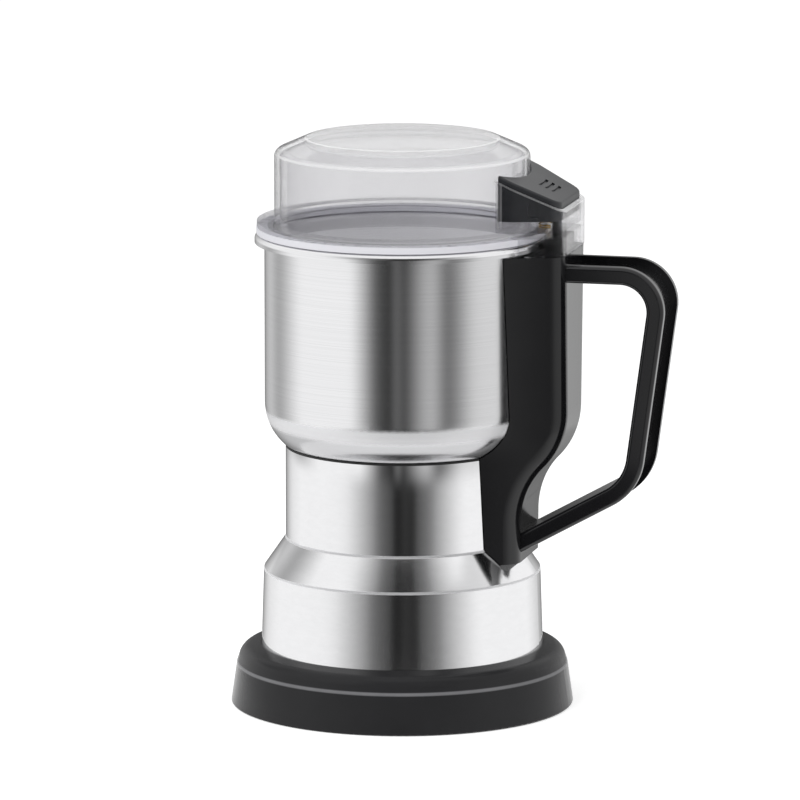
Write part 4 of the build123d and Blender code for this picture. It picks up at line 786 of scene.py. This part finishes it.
def set_down(model: bpy.types.Object, name: str, turn: Triple, place: Vector) -> bpy.types.Object:
    """Copy a model to its place, with the place in the copy's own mesh.

    Args:
        model: the model that stands on the origin.
        name: name of the copy.
        turn: its turn about each axis, in radians.
        place: where its foot goes.

    Returns:
        The copy.
    """
    copy = model.copy()
    copy.data = model.data.copy()
    copy.name = name
    bpy.context.scene.collection.objects.link(copy)
    bpy.ops.object.select_all(action="DESELECT")
    copy.select_set(True)
    bpy.context.view_layer.objects.active = copy
    copy.rotation_euler = turn
    copy.location = place
    bpy.ops.object.transform_apply()
    return copy


def fit_coil(piece: bpy.types.Object, node: str, body: str, finish: Finish) -> bpy.types.Object:
    """Put a wound coil in the place of a CAD spring.

    Args:
        piece: the coil, in place.
        node: the CAD node that it stands for.
        body: the body that it rides on.
        finish: the finish that it gets.

    Returns:
        The same coil.
    """
    piece.data.materials.clear()
    piece.data.materials.append(finish.material())
    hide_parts(node)
    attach(piece, body)
    LOG.info("%s wound in place of %s", piece.name, node)
    return piece


# Sub-assemblies


@dataclass
class BaseUnit:
    """Flared base with its bottom cover, feet and cord gland."""

    def dress(self) -> None:
        """Give the base's nodes their finishes."""
        dress(BASE_BLACK, "base_skirt")
        dress(INNER_BLACK, "bottom_cover")
        dress(RUBBER_BLACK, "rubber_feet", "cord_gland")
        dress(SCREW_STEEL, "cover_screws")


@dataclass
class SteelBody:
    """Motor shell and bowl with the ring between them."""

    def dress(self) -> None:
        """Give the steel body's nodes their finishes."""
        dress(POLISHED_STEEL, "motor_shell")
        dress(BRUSHED_STEEL, "bowl")
        dress(RUBBER_BLACK, "bowl_seat_ring", "shaft_seal")
        dress(SCREW_STEEL, "bowl_screws")


@dataclass
class ClearLid:
    """Lid with its seal, and the sprung button in its housing."""

    mean_r: float = 2.2 * MM
    wire: float = 0.6 * MM
    turns: int = 5
    travel: float = 3.0 * MM

    def build_springs(self) -> List[bpy.types.Object]:
        """Wind the two button springs.

        Returns:
            The springs, front and rear.
        """
        low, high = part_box("button_springs")
        length = high.z - low.z
        model = Coil(self.mean_r, self.wire, length, self.turns).wind("button_spring_model")
        middle = (low.x + high.x) / 2
        reach = self.mean_r + self.wire / 2
        springs = []
        for name, y in (("button_spring_front", low.y + reach), ("button_spring_rear", high.y - reach)):
            spring = set_down(model, name, (0.0, 0.0, 0.0), Vector((middle, y, low.z)))
            fit_coil(spring, "button_springs", "lid", SPRING_BRASS)
            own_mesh(spring)
            springs.append(spring)
        bpy.data.objects.remove(model)
        return springs

    def dress(self) -> None:
        """Give the lid's nodes their finishes, and let the lamps shine through its shell."""
        dress(CLEAR, "lid_shell")
        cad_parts["lid_shell"].visible_shadow = False
        dress(SILICONE_WHITE, "lid_seal")
        dress(BUTTON_GREY, "button")
        dress(INNER_BLACK, "plunger")


@dataclass
class LoopHandle:
    """Column and loop handle with the push rod and switch inside."""

    mean_r: float = 2.05 * MM
    wire: float = 0.4 * MM
    turns: int = 6
    travel: float = 3.0 * MM

    def build_spring(self) -> bpy.types.Object:
        """Wind the push rod's spring.

        Returns:
            The spring.
        """
        low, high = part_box("push_rod_spring")
        length = high.z - low.z
        foot = Vector(((low.x + high.x) / 2, (low.y + high.y) / 2, low.z))
        model = Coil(self.mean_r, self.wire, length, self.turns).wind("push_rod_spring_model")
        spring = set_down(model, "push_rod_coil", (0.0, 0.0, 0.0), foot)
        bpy.data.objects.remove(model)
        fit_coil(spring, "push_rod_spring", "base", SPRING_STEEL)
        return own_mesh(spring)

    def dress(self) -> None:
        """Give the column's nodes their finishes."""
        dress(HANDLE_BLACK, "handle_front", "handle_rear", "cover_plate")
        dress(SCREW_STEEL, "handle_screws", "foot_screw", "foot_nut", "column_studs", "stud_nuts")
        dress(INNER_BLACK, "push_rod", "microswitch")
        dress(SPRING_STEEL, "switch_lever")
        dress(SPRING_BRASS, "switch_terminals")
        dress(LEAD_RED, "switch_leads")
        dress(RUBBER_BLACK, "lead_grommets")


@dataclass
class Motor:
    """Motor with its brackets, brushes, fan and blades."""

    mean_r: float = 1.9 * MM
    wire: float = 0.6 * MM
    turns: int = 3

    def build_springs(self) -> List[bpy.types.Object]:
        """Wind the two brush springs, which lie along the brushes.

        Returns:
            The springs, front and rear.
        """
        low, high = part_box("brush_springs")
        brush_low, brush_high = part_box("carbon_brushes")
        height = (low.z + high.z) / 2
        model = Coil(self.mean_r, self.wire, high.y - brush_high.y, self.turns).wind("brush_spring_model")
        springs = []
        for name, y, turn in (("brush_spring_front", brush_low.y, math.pi / 2),
                              ("brush_spring_rear", brush_high.y, -math.pi / 2)):
            spring = set_down(model, name, (turn, 0.0, 0.0), Vector((0.0, y, height)))
            springs.append(fit_coil(spring, "brush_springs", "base", SPRING_STEEL))
        bpy.data.objects.remove(model)
        return springs

    def dress(self) -> None:
        """Give the motor's nodes their finishes."""
        dress(BRACKET_ALLOY, "lower_bracket", "upper_bracket")
        dress(SCREW_STEEL, "lower_bearing", "upper_bearing", "frame_screws", "motor_bolts", "motor_spacers",
              "motor_shaft", "blade_collar")
        dress(RUBBER_BLACK, "damper_washers")
        dress(IRON, "stator_core", "rotor_core")
        dress(COPPER, "field_coils", "rotor_windings", "commutator")
        dress(SPRING_BRASS, "brush_holders")
        dress(CARBON, "carbon_brushes")
        dress(INNER_BLACK, "cooling_fan")
        dress(BLADE_STEEL, "lower_blade", "upper_blade", "blade_nut")


# Studio


def around(*stops: Tuple[float, float]) -> List[Tuple[float, float]]:
    """Turn stops in degrees from the camera into places along a ramp.

    Args:
        stops: angle to the right of the camera and brightness there.

    Returns:
        Place from 0 to 1 and brightness of each stop.
    """
    return [(degrees / 360.0 + 0.5, level) for degrees, level in stops]


PLAIN_TENT = around(
    (-180, 0.04), (-156, 0.14), (-130, 0.72), (-104, 1.0), (-72, 1.0), (-46, 0.86), (-24, 0.30),
    (-8, 0.06), (2, 0.035), (12, 0.08), (28, 0.36), (50, 0.92), (76, 1.0), (106, 1.0), (132, 0.60),
    (156, 0.14), (180, 0.04))
BANDED_TENT = around(
    (-180, 0.04), (-150, 0.20), (-126, 0.60), (-104, 0.45), (-78, 1.0), (-36, 1.0), (-22, 0.28),
    (-10, 0.04), (-4, 0.14), (3, 0.10), (19, 0.50), (32, 0.18), (50, 0.65), (72, 0.80), (122, 1.0),
    (150, 0.20), (180, 0.04))


@dataclass(frozen=True)
class SoftLamp:
    """Round area lamp, placed by its angles from the camera."""

    name: str
    turn: float
    rise: float
    reach: float
    size: float
    power: float

    def build(self, front: Vector, aim: Vector) -> None:
        """Hang the lamp and point it at the object.

        Args:
            front: level direction from the axis to the camera.
            aim: the point that the lamp faces.
        """
        lamp = bpy.data.lights.new(self.name, "AREA")
        lamp.shape = "DISK"
        lamp.size = self.size
        lamp.energy = self.power
        stand = bpy.data.objects.new(self.name, lamp)
        level = Matrix.Rotation(math.radians(self.turn), 3, "Z") @ front
        tilt = math.radians(self.rise)
        away = level * math.cos(tilt) + Vector((0.0, 0.0, math.sin(tilt)))
        stand.location = away * self.reach + aim
        stand.rotation_euler = (-away).to_track_quat("-Z", "Y").to_euler()
        stand.visible_glossy = False
        bpy.context.scene.collection.objects.link(stand)


LAMPS = (SoftLamp("key", turn=-48.0, rise=46.0, reach=2.0, size=1.4, power=17.0),
         SoftLamp("fill", turn=62.0, rise=30.0, reach=2.2, size=1.6, power=9.0))


@dataclass
class Studio:
    """White floor, light tent, soft lamps and the camera."""

    azimuth: float = 14.0
    distance: float = 3.045
    height: float = 0.672
    aim: float = 0.12239
    lens: float = 348.1
    axis_off_centre: float = 2.3
    frame_width: float = 800.0
    clip: Tuple[float, float] = (0.05, 50.0)
    floor_r: float = 12.0
    floor_drop: float = 0.0002
    floor_steps: int = 96
    floor_grey: float = 0.86
    floor_glow: float = 0.62
    tent_r: float = 0.15
    tent_top: float = 0.34
    tent_steps: int = 128
    band_foot: Tuple[float, float] = (0.074, 0.084)
    band_head: Tuple[float, float] = (0.172, 0.190)
    crown: Tuple[float, float] = (0.236, 0.250)
    ambient: float = 0.45

    def direction(self) -> Vector:
        """Level direction from the axis to the camera.

        Returns:
            The direction, of length 1.
        """
        turn = math.radians(self.azimuth)
        return Vector((math.sin(turn), -math.cos(turn), 0.0))

    def build_camera(self) -> None:
        """Stand the camera where the photograph was taken from."""
        eye = self.direction() * self.distance + Vector((0.0, 0.0, self.height))
        aim = Vector((0.0, 0.0, self.aim)) - eye
        data = bpy.data.cameras.new("camera")
        data.lens = self.lens
        data.shift_x = -self.axis_off_centre / self.frame_width
        data.clip_start, data.clip_end = self.clip
        camera = bpy.data.objects.new("camera", data)
        camera.location = eye
        camera.rotation_euler = aim.to_track_quat("-Z", "Y").to_euler()
        bpy.context.scene.collection.objects.link(camera)
        bpy.context.scene.camera = camera

    @staticmethod
    def seen(graph: Graph) -> Wire:
        """Tell what the camera sees, straight, in a reflection or through a clear piece.

        Args:
            graph: the graph that the share is added to.

        Returns:
            A share that is 1 for those rays and 0 for the rest.
        """
        path = graph.node("ShaderNodeLightPath", out="Is Camera Ray")
        return path.most(path.other("Is Glossy Ray")).most(path.other("Is Transmission Ray"))

    def build_world(self) -> None:
        """White surroundings that light the object at a lower level than they show."""
        world = bpy.data.worlds.new("studio_white")
        world.use_nodes = True
        bpy.context.scene.world = world
        graph = Graph(world.node_tree)
        strength = self.ambient + (1.0 - self.ambient) * self.seen(graph)
        sky = graph.node("ShaderNodeBackground", {}, {"Color": (1.0, 1.0, 1.0, 1.0), "Strength": strength})
        graph.node("ShaderNodeOutputWorld", {}, {"Surface": sky})

    def build_floor(self) -> None:
        """White floor that keeps the object's shadow."""
        bpy.ops.object.select_all(action="DESELECT")
        bpy.ops.mesh.primitive_circle_add(vertices=self.floor_steps, radius=self.floor_r, fill_type="NGON",
                                          location=(0.0, 0.0, -self.floor_drop))
        floor = bpy.context.object
        floor.name = "floor"
        material = bpy.data.materials.new("floor_white")
        material.use_nodes = True
        graph = Graph(material.node_tree)
        matt = graph.node("ShaderNodeBsdfDiffuse", {}, {"Color": (*even(self.floor_grey), 1.0)})
        glow = graph.node("ShaderNodeEmission", {}, {"Strength": self.floor_glow * self.seen(graph)})
        both = graph.node("ShaderNodeAddShader", {}, {0: matt, 1: glow})
        graph.node("ShaderNodeOutputMaterial", {}, {"Surface": both})
        floor.data.materials.append(material)

    def tent_level(self, graph: Graph) -> Wire:
        """Brightness over the tent: bands round the bowl's height, plain elsewhere, and a white crown.

        Args:
            graph: the graph of the tent's material.

        Returns:
            The brightness, where 1 is white.
        """
        parts = graph.node("ShaderNodeSeparateXYZ", {}, {0: graph.place()})
        side, rise = parts.other("Y"), parts.other("Z")
        front = self.direction()
        ahead = parts * front.x + side * front.y
        aside = side * front.x - parts * front.y
        turn = aside.math("ARCTAN2", ahead) / math.tau + 0.5
        plain, banded = (
            graph.node("ShaderNodeValToRGB", {"stops": stops, "blend": "CARDINAL"}, {0: turn})
            for stops in (PLAIN_TENT, BANDED_TENT))
        bowl_zone = rise.ramp_up(*self.band_foot) * (1.0 - rise.ramp_up(*self.band_head))
        return (plain * (1.0 - bowl_zone) + banded * bowl_zone).most(rise.ramp_up(*self.crown))

    def build_tent(self) -> None:
        """Screen round the object that only polished surfaces mirror, with its dark gap at the camera."""
        bpy.ops.object.select_all(action="DESELECT")
        bpy.ops.mesh.primitive_cylinder_add(vertices=self.tent_steps, radius=self.tent_r, depth=self.tent_top,
                                            end_fill_type="NOTHING", location=(0.0, 0.0, self.tent_top / 2))
        tent = bpy.context.object
        tent.name = "light_tent"
        bpy.ops.object.transform_apply()
        for ray in ("camera", "diffuse", "transmission", "volume_scatter", "shadow"):
            setattr(tent, "visible_" + ray, False)
        material = bpy.data.materials.new("tent_cloth")
        material.use_nodes = True
        graph = Graph(material.node_tree)
        glow = graph.node("ShaderNodeEmission", {}, {"Strength": self.tent_level(graph)})
        graph.node("ShaderNodeOutputMaterial", {}, {"Surface": glow})
        tent.data.materials.append(material)

    def build_lamps(self) -> None:
        """Soft key from the upper left of the camera and a weaker fill from its right."""
        for lamp in LAMPS:
            lamp.build(self.direction(), Vector((0.0, 0.0, self.aim)))

    def build(self) -> None:
        """Set up the whole studio."""
        bpy.context.scene.view_settings.view_transform = "Standard"
        self.build_camera()
        self.build_world()
        self.build_floor()
        self.build_tent()
        self.build_lamps()


def main() -> None:
    """Build the studio, wind the coils and dress each sub-assembly."""
    logging.basicConfig(level=logging.INFO)
    Studio().build()
    lid, handle, motor = ClearLid(), LoopHandle(), Motor()
    coils = [*lid.build_springs(), handle.build_spring(), *motor.build_springs()]
    LOG.info("%d coils wound", len(coils))
    for unit in (BaseUnit(), SteelBody(), lid, handle, motor):
        unit.dress()


if __name__ == "__main__":
    main()
